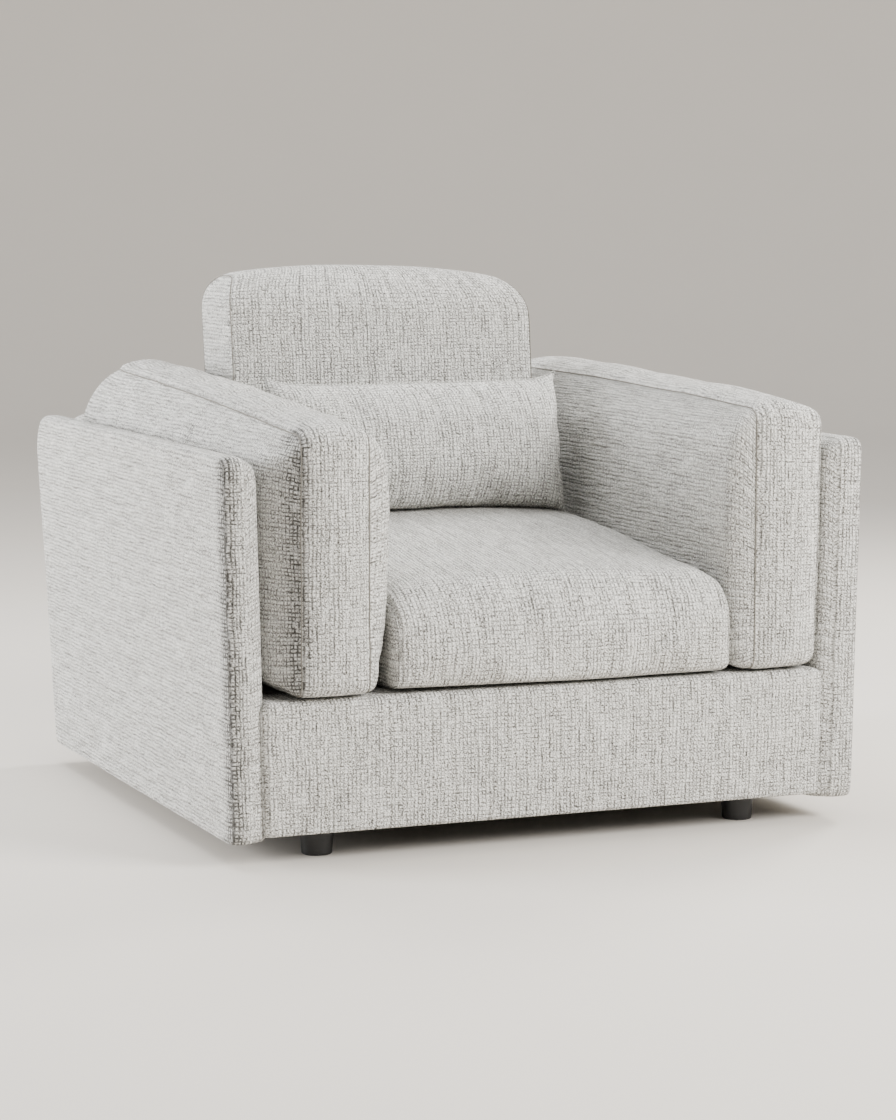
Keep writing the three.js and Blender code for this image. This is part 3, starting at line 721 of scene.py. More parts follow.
def settle_on(piece, support, clearance=1 * MM):
    """Flattens the underside of a cushion where it lies on another one."""
    points, below = get_points(piece), get_points(support)
    tree = BVHTree.FromPolygons(below.tolist(), [tuple(p.vertices) for p in support.data.polygons])
    for number, place in enumerate(points):
        hit = tree.ray_cast(Vector((place[0], place[1], below[:, 2].max() + 0.1)), Vector((0, 0, -1)))[0]
        if hit is not None:
            points[number, 2] = max(place[2], hit.z + clearance)
    set_points(piece, points)


def rest_on_deck(piece):
    """Keeps the underside just clear of the deck."""
    points = get_points(piece)
    points[:, 2] = np.maximum(points[:, 2], DECK_TOP + CLEAR)
    set_points(piece, points)


# The cushions sit a little unevenly, so each arm cushion has measures of its own, and the seat's sides too.
# How far forward of the side panels an arm cushion stands.
ARM_FORWARD = {"left": 10 * MM, "right": 5 * MM}
# How far out its inner and outer seams are, and its inner face, at the deck and where it swells most.
ARM_SEAMS = {"left": (0.286, 0.388), "right": (0.323, 0.424)}
ARM_INNER_FACE = {"left": (0.268, 0.247), "right": (0.289, 0.2865)}
# Where its top ends at the rear, how high its corners are at the rear and the front, and how round the rear
# one is.
ARM_REAR = {"left": 0.474, "right": 0.462}
ARM_TOP = {"left": (0.654, 0.610), "right": (0.645, 0.616)}
ARM_REAR_ROUND = {"left": 0.076, "right": 0.098}
# Where the seat cushion's sides are.
SEAT_EDGE = {"left": -0.2455, "right": 0.285}
# From where to where, going back, the inner faces give way to the back cushion, and how far out they end.
SEAT_REAR = (-0.03, 0.11)
BACK_SIDE = 0.272
# How far the inner and outer seams dip towards the front, and how far the outer one turns in at the rear.
ARM_SEAM_DROP = {"left": (9 * MM, 10 * MM), "right": (-8 * MM, 4 * MM)}
ARM_SEAM_TURN = {"left": 26 * MM, "right": 8 * MM}
# How much the outer side puffs up past its seam at the rear, how high its top is crowned, and how far its
# top bulges back over the back panel.
ARM_REAR_PUFF = {"left": 13 * MM, "right": 0}
ARM_CROWN = 8 * MM
ARM_OVER_BACK = 34 * MM
# The radius to which the right cushion's outer edge is rolled over at the front and the bottom, and how far
# it swells out in front of the side panel's rounded edge.
ARM_ROLL = 16 * MM
ARM_FRONT_SWELL = 7 * MM
NOSE_DEPTH = 30 * MM
# How much painted shade darkens its outer front edge, where the weave also opens, how much longer its cloth
# is than its form, how crisp its seams are, and what shows in each seam, from the one with the lower x on:
# a darker cord that paints shade into the seam, or the plain weave.
ARM_CREASE_SHADE = {"left": 1.0, "right": 0.3}
ARM_SLACK = {"left": 0.02, "right": 0.008}
ARM_SHARPNESS = {"left": 0.6, "right": 0.35}
ARM_CORDS = {"left": (SHADED_SEAM_CORD, SHADED_SEAM_CORD), "right": (SHADED_SEAM_CORD, WEAVE)}


def panel_inner_face(z):
    """Inner face of the side panels at height z."""
    return INNER_HALF - 2 * MM + FLARE * (z - SHELL_BOTTOM)


def roll_outer_edge(points, seam, front, bottom):
    """Rolls the outer front edge of the right arm cushion over to its side, and lifts its bottom corner."""
    past = np.clip((points[:, 0] - seam + ARM_ROLL) / ARM_ROLL, 0, 1)
    roll = ARM_ROLL * (1 - np.sqrt(1 - 0.96 * past ** 2))
    near_front = np.clip(1 - (points[:, 1] - front) / 0.06, 0, 1)
    near_bottom = np.clip(1 - (points[:, 2] - bottom) / 0.06, 0, 1)
    points[:, 0] += past * (FLARE * (points[:, 2] - bottom) + ARM_FRONT_SWELL * near_front)
    points[:, 1] += roll * near_front
    points[:, 2] += 0.8 * roll * near_bottom * near_front


def slant_seams(points, side_name, front):
    """Crowns the top, and lets the inner and outer seams dip to the front. Gives each point's place in it."""
    inner_seam, outer_seam = ARM_SEAMS[side_name]
    inner_drop, outer_drop = ARM_SEAM_DROP[side_name]
    run = np.clip((points[:, 1] - front) / (ARM_REAR[side_name] - front), 0, 1)
    height = np.clip((points[:, 2] - 0.45) / 0.2, 0, 1)
    outward = np.clip((np.abs(points[:, 0]) - inner_seam) / (outer_seam - inner_seam), 0, 1)
    drop = (inner_drop * (1 - outward) + outer_drop * outward) * (1 - run)
    points[:, 2] += (ARM_CROWN * np.sin(np.pi * run) - drop) * height
    return run, outward


def puff_rear(points, side_name, side, run, outward):
    """Turns the outer seam in at the rear, and puffs the side up past it."""
    outer_seam = ARM_SEAMS[side_name][1]
    turned = np.clip((run - 0.80) / 0.20, 0, 1) ** 2 * np.clip((points[:, 2] - 0.55) / 0.06, 0, 1)
    near_seam = np.clip(1 - (side * points[:, 0] - outer_seam) / 0.036, 0, 1) * outward
    points[:, 0] -= side * ARM_SEAM_TURN[side_name] * turned * near_seam
    seam_x = outer_seam - ARM_SEAM_TURN[side_name] * turned
    past_seam = np.clip((side * points[:, 0] - seam_x) / (0.432 - seam_x), 0, 1)
    points[:, 2] += ARM_REAR_PUFF[side_name] * turned * np.sin(np.pi * past_seam)


def swell_inner_face(points, side_name, side, bottom):
    """Swells the inner face towards the sitter, most at mid-height."""
    inner_seam = ARM_SEAMS[side_name][0]
    inner_low, inner_full = ARM_INNER_FACE[side_name]
    swelling = np.sin(np.pi * np.clip((points[:, 2] - bottom) / 0.40, 0, 1) ** 1.3) ** 0.8
    inside = (inner_seam - side * points[:, 0]) / (inner_seam - inner_low)
    points[:, 0] -= side * np.maximum((inner_low - inner_full) * swelling * inside, 0)


def fit_between(points, side_name, side):
    """Keeps an arm cushion clear of the side panel, the back cushion and the back panel."""
    inner_full = ARM_INNER_FACE[side_name][1]
    outer_face = panel_inner_face(points[:, 2]) - CLEAR
    if side > 0:
        outer_face += ARM_FRONT_SWELL * np.clip(1 - (points[:, 1] - FRONT) / NOSE_DEPTH, 0, 1)
    beside_back = np.clip((points[:, 1] - SEAT_REAR[0]) / (SEAT_REAR[1] - SEAT_REAR[0]), 0, 1)
    inner_face = np.maximum(inner_full, inner_full + (BACK_SIDE - inner_full) * beside_back)
    points[:, 0] = side * np.clip(side * points[:, 0], inner_face, outer_face)
    behind = rear_face(points[:, 2]) - SHELL_THICKNESS - 3 * MM
    over = np.clip((points[:, 2] - SHELL_TOP - 4 * MM) / 0.016, 0, 1)
    points[:, 1] = np.minimum(points[:, 1], behind + ARM_OVER_BACK * over)


def make_arm_cushion(side_name, side):
    """A boxed cushion that stands on the deck between the seat cushion and the side panel."""
    front = FRONT - ARM_FORWARD[side_name]
    bottom = DECK_TOP + 4 * MM
    rear_bottom = rear_face(bottom) - SHELL_THICKNESS - 6 * MM
    rear_height, front_height = ARM_TOP[side_name]
    corners = [(front, bottom), (rear_bottom, bottom), (ARM_REAR[side_name], rear_height),
               (front, front_height)]
    radii = (0.016, 0.022, ARM_REAR_ROUND[side_name], 0.018)
    inner_seam, outer_seam = ARM_SEAMS[side_name]
    outer_rise = panel_inner_face(bottom) - 2 * MM - outer_seam
    inner = Face(inner_seam - ARM_INNER_FACE[side_name][0], 0.034, reach=(1, 1, 0.6, 2.2))
    outer = Face(outer_rise, 2 * outer_rise, 4 * MM, slope_round, (1, 0.24, 0.4, 0.9))
    if side > 0:
        outer = Face(outer_rise, 0.034, 4 * MM, slope_round, (0.9, 1, 0.8, 1.4))
    faces = (outer, inner) if side < 0 else (inner, outer)
    span = sorted((side * inner_seam, side * outer_seam))
    form = BoxedForm(corners, radii, span, 14 * MM, faces, (0, 6 * MM, 13 * MM, 8 * MM))
    piece = form.finish(f"arm_cushion_{side_name}", WEAVE, along_x)
    points = get_points(piece)
    run, outward = slant_seams(points, side_name, front)
    puff_rear(points, side_name, side, run, outward)
    swell_inner_face(points, side_name, side, bottom)
    if side > 0:
        roll_outer_edge(points, outer_seam, front, bottom)
    set_points(piece, points)
    soften(piece, 2.5 * MM, 0.16, side * 3.1)
    inflate(piece, 6 * MM, form.seams, lambda p: p[:, 2] < bottom + 4 * MM, ARM_SLACK[side_name])
    points = get_points(piece)
    fit_between(points, side_name, side)
    set_points(piece, points)
    rest_on_deck(piece)
    node = f"arm_cushion_{side_name}"
    bind(piece, node, "fabric", f"{node}_cover", f"{node}_core", fill=0.85)
    ends = ("outer", "inner") if side < 0 else ("inner", "outer")
    names = [f"{node}_seam_{end}" for end in ends]
    sew(piece, names, form.seams, ARM_SHARPNESS[side_name], ARM_CORDS[side_name])
    # Painted shade along the outer front edge, where the cloth turns its tight corner.
    outer_line = get_points(piece)[form.seams[ends.index("outer")]]
    outer_line[:, 0] += side * 10 * MM
    open_weave_and_shade(piece, [outer_line[outer_line[:, 1] < FRONT + 0.03]], 20 * MM, ARM_CREASE_SHADE[side_name])
    return piece


def make_seat_cushion():
    """A boxed, crowned seat cushion, higher at its rear than at its front."""
    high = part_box("seat_cushion_cover")[1]
    front, rear = FRONT - 2 * MM, high.y - 3 * MM
    bottom = DECK_TOP + 4 * MM
    corners = [(front, bottom), (rear, bottom), (rear, 0.420), (front, 0.360)]
    edge = 5 * MM
    span = (SEAT_EDGE["left"] + edge, SEAT_EDGE["right"] - edge)
    faces = (Face(edge, 0.03), Face(edge, 0.03))
    radii = (0.018, 0.020, 0.040, 0.058)
    form = BoxedForm(corners, radii, span, 16 * MM, faces, (0, 4 * MM, 19 * MM, 12 * MM))
    piece = form.finish("seat_cushion", WEAVE, along_x)
    points = get_points(piece)
    run = np.clip((points[:, 1] - front) / (rear - front), 0, 1)
    height = np.clip((points[:, 2] - 0.30) / 0.1, 0, 1)
    points[:, 2] += 16 * MM * np.sin(np.pi * run) * height
    below = points[:, 2] < bottom + 10 * MM
    set_points(piece, points)
    soften(piece, 4 * MM, 0.2, 5.3)
    inflate(piece, 8 * MM, form.seams, lambda p: below)
    points = get_points(piece)
    points[:, 0] = np.clip(points[:, 0], SEAT_EDGE["left"], SEAT_EDGE["right"])
    set_points(piece, points)
    rest_on_deck(piece)
    bind(piece, "seat_cushion", "fabric", "seat_cushion_cover", "seat_cushion_core", fill=0.8)
    sew(piece, ("seat_cushion_seam_left", "seat_cushion_seam_right"), form.seams, 0.3, (WEAVE, WEAVE))
    return piece


def round_top(points, half_width, top, radii):
    """Rounds the top corners of an upright form, as seen from the front: radii at its left and right."""
    radius = np.where(points[:, 0] < 0, radii[0], radii[1])
    above = np.clip((points[:, 2] - (top - radius)) / radius, 0, 1)
    limit = half_width - radius + radius * np.sqrt(1 - above ** 2 * 0.96)
    points[:, 0] *= limit / half_width
    return points


def make_back_cushion():
    """A boxed cushion with round top corners, which stands on the seat and leans on the bolster."""
    low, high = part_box("back_cushion_cover")
    base = low.z + 4 * MM
    depth = 0.147
    back_y = high.y - (high.z - 0.05 - low.z) * RECLINE
    front_y = back_y - depth
    top = high.z - 19 * MM
    corners = [(front_y, base), (back_y, base), (back_y, top), (front_y, top)]
    faces = (Face(3 * MM, 0.05), Face(3 * MM, 0.05))
    swell = (14 * MM, 5 * MM, 14 * MM, 14 * MM)
    form = BoxedForm(corners, (0.035, 0.035, 0.060, 0.050), (-0.261, 0.258), 14 * MM, faces, swell,
                     band_cells=36)
    piece = form.finish("back_cushion", WEAVE, along_x)
    points = get_points(piece)
    points = round_top(points, 0.262, top + 12 * MM, (0.056, 0.080))
    leaning = np.clip((points[:, 0] + 0.10) / 0.35, 0, 1)
    points[:, 2] -= 9 * MM * leaning * np.clip((points[:, 2] - 0.7) / 0.1, 0, 1)
    points[:, 1] += RECLINE * (points[:, 2] - low.z)
    set_points(piece, points)
    soften(piece, 2 * MM, 0.35, 4.1)
    inflate(piece, 3 * MM, form.seams, slack=0.0)
    bind(piece, "back_cushion", "fabric", "back_cushion_cover", "back_cushion_core", fill=0.85)
    sew(piece, ("back_cushion_seam_left", "back_cushion_seam_right"), form.seams)
    return piece


def make_bolster():
    """The boxed cushion that stands on the deck behind the back cushion."""
    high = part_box("back_bolster_cover")[1]
    bottom = DECK_TOP + 4 * MM
    depth = 0.131 - 12 * MM
    top = high.z - 6 * MM
    rear = rear_face(bottom) - SHELL_THICKNESS - 8 * MM
    corners = [(rear - depth, bottom), (rear, bottom), (rear, top), (rear - depth, top)]
    faces = (Face(7 * MM, 0.045), Face(7 * MM, 0.045))
    form = BoxedForm(corners, (0.02, 0.02, 0.05, 0.05), (-0.254, 0.254), 18 * MM, faces, 6 * MM)
    piece = form.finish("back_bolster", WEAVE, along_x)
    points = get_points(piece)
    points[:, 1] += RECLINE * (points[:, 2] - bottom)
    set_points(piece, points)
    inflate(piece, 5 * MM, form.seams, lambda p: p[:, 2] < bottom + 4 * MM)
    rest_on_deck(piece)
    bind(piece, "back_bolster", "fabric", "back_bolster_cover", "back_bolster_core", fill=0.85)
    sew(piece, ("back_bolster_seam_left", "back_bolster_seam_right"), form.seams)
    return piece


def make_lumbar_cushion(seat):
    """A knife-edged pillow: a front and a back panel sewn together round their edge."""
    low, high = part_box("lumbar_cushion_cover")
    width, height, thickness = 0.502, 0.236, 0.158
    columns, rows = 44, 22
    u = np.linspace(-1, 1, columns + 1)[:, None] * np.ones((1, rows + 1))
    v = np.linspace(-1, 1, rows + 1)[None, :] * np.ones((columns + 1, 1))
    x = u * width / 2 * (1 - 0.024 * (1 - np.abs(v) ** 5))
    z = v * height / 2 * (0.915 + 0.14 * np.abs(u) ** 8)
    fullness = ((1 - np.abs(u) ** 5) * (1 - np.abs(v) ** 2.8)) ** 0.57
    fullness *= 1 - 0.7 * np.abs(u * v) ** 8
    skin = Skin()
    front = skin.add_points(np.stack([x, -fullness * thickness * 0.5, z], axis=-1))
    back_inner = skin.add_points(np.stack([x, fullness * thickness * 0.5, z], axis=-1)[1:-1, 1:-1])
    back = front.copy()
    back[1:-1, 1:-1] = back_inner
    uv = np.stack([u * width / 2, v * height / 2], axis=-1)
    skin.add_grid(front, uv, flip=True)
    skin.add_grid(back, uv)
    piece = skin.to_object("lumbar_cushion", WEAVE)
    lean = math.atan(0.2)
    points = get_points(piece)
    y = points[:, 1] * math.cos(lean) + points[:, 2] * math.sin(lean)
    z = -points[:, 1] * math.sin(lean) + points[:, 2] * math.cos(lean)
    points[:, 0] += 3 * MM
    points[:, 1], points[:, 2] = y + (low.y + high.y) / 2, z + high.z - 4 * MM - height / 2
    set_points(piece, points)
    face_outwards(piece)
    edge = np.concatenate([front[:, 0], front[-1, 1:], front[::-1, -1][1:], front[0, ::-1][1:-1]])
    soften(piece, 4 * MM, 0.12, 2.2)
    inflate(piece, 10 * MM, [edge], slack=0.03)
    settle_on(piece, seat)
    points = get_points(piece)
    points[:, 0] = np.maximum(points[:, 0], SEAT_EDGE["left"])
    set_points(piece, points)
    bind(piece, "lumbar_cushion", "fabric", "lumbar_cushion_cover", "lumbar_cushion_core", fill=0.75)
    sew(piece, ("lumbar_cushion_seam",), [edge], cords=(WEAVE,))
    return piece


# How far a side panel's outer seam stands out past the CAD's face, and how much painted shade darkens its front
# corner, where the weave also opens.
PANEL_OUTSET = {"left": -4 * MM, "right": 4 * MM}
PANEL_CREASE_SHADE = {"left": 1.0, "right": 0.3}


def make_side_panel(side_name, side):
    """The padded cover of a side panel; it leans out a little, and its rear edge leans back."""
    rear_low, rear_high = rear_face(SHELL_BOTTOM), rear_face(SHELL_TOP)
    corners = [(FRONT + 5 * MM, SHELL_BOTTOM), (rear_low - 4 * MM, SHELL_BOTTOM),
               (rear_high - 5 * MM, SHELL_TOP - 4 * MM), (FRONT + 5 * MM, SHELL_TOP - 4 * MM)]
    near = side * (INNER_HALF + 22 * MM)
    far = side * (INNER_HALF + SHELL_THICKNESS + PANEL_OUTSET[side_name])
    inner = Face(24 * MM, 0.032, reach=(0.8, 0.25, 0.04, 1))
    outer = Face(3 * MM, 0.014, 1 * MM, slope_round, (1, 1, 0.2, 1))
    faces = (outer, inner) if side < 0 else (inner, outer)
    swell = (0.5 * MM, 5 * MM, 5 * MM, 6 * MM)
    form = BoxedForm(corners, (0.006, 0.007, 0.052, 0.009), sorted((near, far)), 14 * MM, faces, swell,
                     band_cells=8)
    piece = form.finish(f"side_panel_{side_name}", WEAVE, along_x)
    points = get_points(piece)
    points[:, 0] += side * FLARE * (points[:, 2] - SHELL_BOTTOM)
    set_points(piece, points)
    soften(piece, 1.5 * MM, 0.25, side * 6.4)
    outer_line = get_points(piece)[form.seams[0 if side < 0 else 1]]
    subdivide(piece)
    # Painted shade along the front corner of the outer face, where the cloth turns.
    open_weave_and_shade(piece, [outer_line[outer_line[:, 1] < FRONT + 0.02]], 17 * MM, PANEL_CREASE_SHADE[side_name])
    bind(piece, "frame", "fabric", f"arm_cover_{side_name}", fill=0.3)
    return piece


def make_back_panel():
    """The padded cover of the back panel, leaning back between the side panels."""
    half_low = BACK_HIGH.x - FLARE * (SHELL_TOP - SHELL_BOTTOM)
    corners = [(-half_low, SHELL_BOTTOM + 2 * MM), (half_low, SHELL_BOTTOM + 2 * MM),
               (BACK_HIGH.x, SHELL_TOP - 3 * MM), (-BACK_HIGH.x, SHELL_TOP - 3 * MM)]
    faces = (Face(4 * MM, 0.02, 1 * MM), Face(4 * MM, 0.02, 1 * MM))
    form = BoxedForm(corners, (0.010, 0.010, 0.028, 0.028), (5 * MM, SHELL_THICKNESS - 5 * MM), 18 * MM,
                     faces, 3 * MM, band_cells=6)

    def leaned(points):
        x, z, depth = points.T
        return np.stack([x, rear_face(0) + RECLINE * z - depth, z], axis=1)

    piece = form.finish("back_panel", WEAVE, leaned)
    subdivide(piece)
    bind(piece, "frame", "fabric", "back_panel_cover", fill=0.3)
    return piece


def make_front_cover():
    """The padded cover of the base's front: down the front face and back over the edge of the deck."""
    low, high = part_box("front_cover")
    deck_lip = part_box("deck_pad")[0].z
    pad = 12 * MM
    skin = Skin()
    radius = 12 * MM
    front_top = rounded_corner((low.y, high.z), (low.y, low.z), (high.y, high.z), radius, 6)
    front_bottom = rounded_corner((low.y, low.z), (low.y + pad, low.z), (low.y, high.z), 6 * MM, 4)
    up = resample([front_bottom[-1], front_top[0]], 14)
    over = resample([front_top[-1], (high.y, high.z)], 6)
    profile = front_bottom[:-1] + list(up[:-1]) + front_top[:-1] + list(over)
    profile += [(high.y, deck_lip), (low.y + pad, deck_lip), (low.y + pad, low.z)]
    profile = np.array(profile)
    columns = 56
    half = INNER_HALF + 7 * MM
    end_round = 16 * MM
    end_roll = 14 * MM
    on_front = profile[:, 0] < low.y + pad * 0.6
    xs = half * np.sin(np.pi / 2 * np.linspace(-1, 1, columns + 1))
    middle = np.clip((profile[:, 1] - low.z) / (high.z - low.z), 0, 1)
    bulge = np.where(on_front, np.sin(np.pi * middle) ** 0.7, 0)
    rows = []
    for x in xs:
        toward = 1 - abs(x / half) ** 8
        roll = max(0.0, (abs(x) - half + end_roll) / end_roll) ** 2
        y = profile[:, 0] - 3 * MM * bulge * toward + 8 * MM * roll * on_front
        widened = x * (1 + FLARE * (profile[:, 1] - SHELL_BOTTOM) / half)
        past = np.clip((abs(x) - half + end_round) / end_round, 0, 0.95)
        top = high.z - end_round * (1 - math.sqrt(1 - past ** 2))
        rows.append(np.stack([widened, y, np.minimum(profile[:, 1], top)], axis=1))
    numbers = skin.add_points(np.array(rows))
    closed = np.concatenate([numbers, numbers[:, :1]], axis=1)
    steps = np.linalg.norm(np.roll(profile, -1, axis=0) - profile, axis=1)
    length = np.concatenate([[0], np.cumsum(steps)])
    uv = np.stack(np.broadcast_arrays(xs[:, None], length[None, :]), axis=-1)
    skin.add_grid(closed, uv)
    skin.add_face(numbers[0], flip=True)
    skin.add_face(numbers[-1])
    piece = face_outwards(skin.to_object("base_front_cover", WEAVE))
    bind(piece, "frame", "fabric", "front_cover", fill=0.3)
    return piece


def make_deck():
    """The deck: a lined pad over the springs."""
    low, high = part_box("deck_pad")
    corners = [(low.x, low.y), (high.x, low.y), (high.x, high.y), (low.x, high.y)]
    faces = (Face(1 * MM, 0.02), Face(3 * MM, 0.02))
    form = BoxedForm(corners, (0.006,) * 4, (low.z + 2 * MM, high.z - 3 * MM), 24 * MM, faces, 0.5 * MM,
                     band_cells=4)
    piece = form.finish("deck_platform", LINING, lambda p: p)
    bind(piece, "frame", "wadding", "deck_pad", fill=0.3)
    return piece


HEM_WIDTH = 22 * MM
CLOTH_SAG = 4 * MM
CLOTH_THICKNESS = 0.7 * MM
STAPLE_PITCH = 58 * MM
STAPLE_LENGTH = 10 * MM
STAPLE_INSET = 12 * MM


def make_dust_cover():
    """The black cloth stapled under the frame, with a turned hem and a slight sag between the rails."""
    low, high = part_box("dust_cover")
    columns = rows = 64
    x = np.linspace(low.x, high.x, columns + 1)[:, None] * np.ones((1, rows + 1))
    y = np.linspace(low.y, high.y, rows + 1)[None, :] * np.ones((columns + 1, 1))
    sag = np.zeros(x.shape)
    centre_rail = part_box("centre_rail")
    half_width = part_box("corner_block_front_right")[0].x
    for start, end in ((low.y + 0.03, centre_rail[0].y), (centre_rail[1].y, high.y - 0.03)):
        along = np.clip((y - start) / (end - start), 0, 1)
        sag += np.sin(np.pi * along) ** 0.8 * np.clip(1 - (x / half_width) ** 2, 0, 1) ** 0.7
    edge = np.minimum(np.minimum(x - low.x, high.x - x), np.minimum(y - low.y, high.y - y))
    hem = (edge < HEM_WIDTH).astype(float)
    pucker = np.array([
        [noise.noise(Vector((a * 40, b * 40, 0))) for a, b in zip(*line)] for line in zip(x, y)
    ])
    bottom = low.z + 0.3 * MM - 0.25 * MM * hem - CLOTH_SAG * sag * (1 + 0.25 * pucker)
    skin = Skin()
    under = skin.add_points(np.stack([x, y, bottom], axis=-1))
    over = skin.add_points(np.stack([x, y, bottom + CLOTH_THICKNESS], axis=-1))
    uv = np.stack([x, y], axis=-1)
    skin.add_grid(under, uv, flip=True)
    skin.add_grid(over, uv)
    around = [(i, 0) for i in range(columns)] + [(columns, j) for j in range(rows)]
    around += [(i, rows) for i in range(columns, 0, -1)] + [(0, j) for j in range(rows, 0, -1)]
    for here, following in zip(around, around[1:] + around[:1]):
        skin.faces.append([int(n) for n in (under[here], under[following], over[following], over[here])])
        skin.uvs.append([tuple(uv[here]), tuple(uv[following]), tuple(uv[following]), tuple(uv[here])])
    piece = skin.to_object("dust_cover_sheet", DUST_CLOTH)
    staples = make_staples(low, high, low.z + 0.05 * MM)
    bind(piece, "frame", "dust_cloth", "dust_cover")
    bind(staples, "frame", "steel")


def make_staples(low, high, level):
    """The staples along the dust cover's edges: flat wire crowns with their legs bent up into the rails."""
    chance = random.Random(4)
    edge = STAPLE_INSET
    skin = Skin()
    width, depth, legs = 1.2 * MM, 0.5 * MM, 0.9 * MM
    profile = [(-1, legs), (-1, depth * 0.4), (-0.9, 0), (0.9, 0), (1, depth * 0.4), (1, legs),
               (0.8, legs), (0.8, depth), (-0.8, depth), (-0.8, legs)]
    end_parts = [[0, 1, 8, 9], [1, 2, 3, 4, 7, 8], [4, 5, 6, 7]]
    places = []
    for x in np.arange(low.x + 0.03, high.x - 0.02, STAPLE_PITCH):
        places += [(x, low.y + edge, 0.0), (x, high.y - edge, 0.0)]
    for y in np.arange(low.y + 0.05, high.y - 0.03, STAPLE_PITCH):
        places += [(low.x + edge, y, math.pi / 2), (high.x - edge, y, math.pi / 2)]
    for x, y, heading in places:
        heading += chance.uniform(-0.12, 0.12)
        x, y = x + chance.uniform(-4, 4) * MM, y + chance.uniform(-2, 2) * MM
        forward = np.array((math.cos(heading), math.sin(heading)))
        sideways = np.array((-forward[1], forward[0]))
        rings = []
        for across in (-0.5, 0.5):
            ring = [(*(np.array((x, y)) + forward * a * STAPLE_LENGTH / 2 + sideways * across * width),
                     level - depth + h) for a, h in profile]
            rings.append(ring)
        numbers = skin.add_points(np.array(rings))
        closed = np.concatenate([numbers, numbers[:, :1]], axis=1)
        skin.add_grid(closed, np.zeros(closed.shape + (2,)), flip=True)
        for ring, flip in zip(numbers, (True, False)):
            for part in end_parts:
                skin.add_face(ring[part], flip)
    made = face_outwards(skin.to_object("dust_cover_staples", ZINC))
    made.data.polygons.foreach_set("use_smooth", [False] * len(made.data.polygons))
    return made


def lathe(name, profile, material, place, turns=48):
    """A turned solid from a profile of (radius, height) that starts and ends on the axis."""
    skin = Skin()
    angles = np.linspace(0, 2 * np.pi, turns, endpoint=False)
    rings = [[(r * math.cos(a), r * math.sin(a), h) for a in angles] for r, h in profile[1:-1]]
    numbers = skin.add_points(np.array(rings))
    ends = skin.add_points(np.array([(0, 0, profile[0][1]), (0, 0, profile[-1][1])]))
    closed = np.concatenate([numbers, numbers[:, :1]], axis=1)
    skin.add_grid(closed, np.zeros(closed.shape + (2,)))
    for k in range(turns):
        following = (k + 1) % turns
        skin.add_face((ends[0], numbers[0, k], numbers[0, following]))
        skin.add_face((ends[1], numbers[-1, following], numbers[-1, k]))
    made = skin.to_object(name, material)
    set_points(made, get_points(made) + np.array(place))
    return face_outwards(made)


def make_foot(corner):
    """A slightly tapered round foot with a rounded lower edge."""
    low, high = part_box(f"foot_{corner}")
    x, y = (low.x + high.x) / 2, (low.y + high.y) / 2
    top_radius = (high.x - low.x) / 2
    bottom_radius = top_radius - 3 * MM
    height = high.z - low.z
    edge = 2.2 * MM
    profile = [(0, 0), (bottom_radius - 3.0 * MM, 0)]
    for k in range(1, 6):
        turn = math.pi / 2 * k / 5
        profile.append((bottom_radius - edge + edge * math.sin(turn), edge * (1 - math.cos(turn))))
    profile += [(bottom_radius + (top_radius - bottom_radius) * f, edge + (height - 3 * MM) * f)
                for f in (0.25, 0.5, 0.75, 0.98)]
    profile += [(top_radius - 0.3 * MM, height - 0.2 * MM), (top_radius - 1 * MM, height), (0, height)]
    foot = lathe(f"foot_body_{corner}", profile, FOOT_BLACK, (x, y, low.z))
    return bind(foot, "frame", "foot_plastic", f"foot_{corner}")


# ---------------------------------------------------------------- build everything

for side_name, side in SIDES.items():
    make_side_panel(side_name, side)
    make_arm_cushion(side_name, side)
make_back_panel()
make_front_cover()
make_deck()
make_dust_cover()
make_bolster()
seat_cushion = make_seat_cushion()
make_back_cushion()
make_lumbar_cushion(seat_cushion)
for corner in ("front_left", "front_right", "rear_left", "rear_right"):
    make_foot(corner)

SLOT_MATERIALS = {
    "timber": TIMBER,
    "hardboard": HARDBOARD,
    "steel": ZINC,
    "dust_cloth": DUST_CLOTH,
}
for subpart in frame["record"]["subparts"]:
    finish = SLOT_MATERIALS.get(subpart["material_slot"])
    if finish is not None:
        for slot in frame["nodes"][subpart["node"]].material_slots:
            slot.material = finish

# ---------------------------------------------------------------- camera, light and stage

CAMERA_PLACE = (-1.8232, -4.5002, 0.9147)
CAMERA_YAW = math.radians(22.494)
CAMERA_DIP = math.radians(6.502)
CAMERA_LENS = 99.47


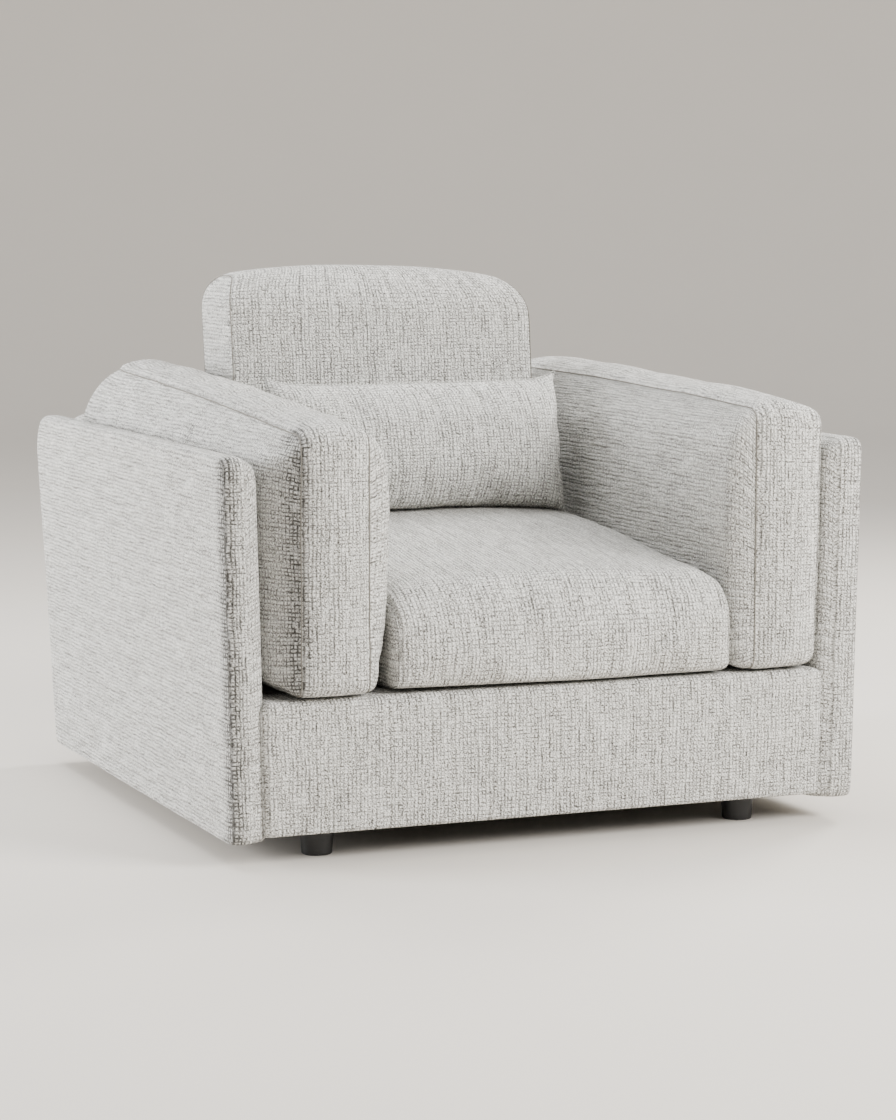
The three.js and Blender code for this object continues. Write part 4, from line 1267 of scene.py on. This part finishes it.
def make_camera():
    """The camera at the photograph's viewing angle."""
    data = bpy.data.cameras.new("camera")
    data.lens = CAMERA_LENS
    camera = bpy.data.objects.new("camera", data)
    bpy.context.scene.collection.objects.link(camera)
    camera.location = CAMERA_PLACE
    camera.rotation_euler = (math.pi / 2 - CAMERA_DIP, 0, -CAMERA_YAW)
    bpy.context.scene.camera = camera


def area_light(name, place, target, size, power, colour=(1, 1, 1)):
    """A soft box that the camera doesn't see, turned to its target."""
    data = bpy.data.lights.new(name, "AREA")
    data.shape = "RECTANGLE"
    data.size, data.size_y = size
    data.energy = power
    data.color = colour
    light = bpy.data.objects.new(name, data)
    bpy.context.scene.collection.objects.link(light)
    light.location = place
    light.visible_camera = False
    light.rotation_euler = (Vector(target) - Vector(place)).to_track_quat("-Z", "Y").to_euler()


def make_stage():
    """A plain pale floor that curves up at its edge, all the way round."""
    floor_radius, rise, rim = 7.5, 3.0, 2.4
    profile = [(0.02, 0.0), (2.0, 0.0), (5.0, 0.0)]
    for k in range(13):
        turn = math.pi / 2 * k / 12
        profile.append((floor_radius + rise * math.sin(turn), rim * (1 - math.cos(turn))))
    angles = np.linspace(0, 2 * np.pi, 73)
    points = np.array([[(r * math.cos(a), r * math.sin(a), h) for a in angles] for r, h in profile])
    skin = Skin()
    numbers = skin.add_points(points)
    skin.add_grid(numbers, points[..., :2])
    stage = skin.to_object("stage_floor", STAGE)


def make_world():
    """Even light from all round."""
    world = bpy.data.worlds.new("studio")
    bpy.context.scene.world = world
    world.use_nodes = True
    background = world.node_tree.nodes["Background"]
    background.inputs["Color"].default_value = (0.99, 0.98, 0.97, 1.0)
    background.inputs["Strength"].default_value = 0.8


make_camera()
make_world()
make_stage()
area_light("window", (-4.0, 1.5, 1.2), (0, 0, 0.35), (1.8, 1.6), 300, (0.97, 0.98, 1.0))
area_light("key", (2.5, -3.3, 2.4), (0, 0, 0.4), (2.2, 2.0), 350, (1.0, 0.98, 0.95))
area_light("sun", (2.9, 1.4, 2.4), (-0.2, -0.2, 0.45), (1.0, 1.0), 120, (1.0, 0.97, 0.92))
area_light("overhead", (-0.6, 0.6, 3.2), (0, 0, 0.4), (2.2, 2.2), 80)
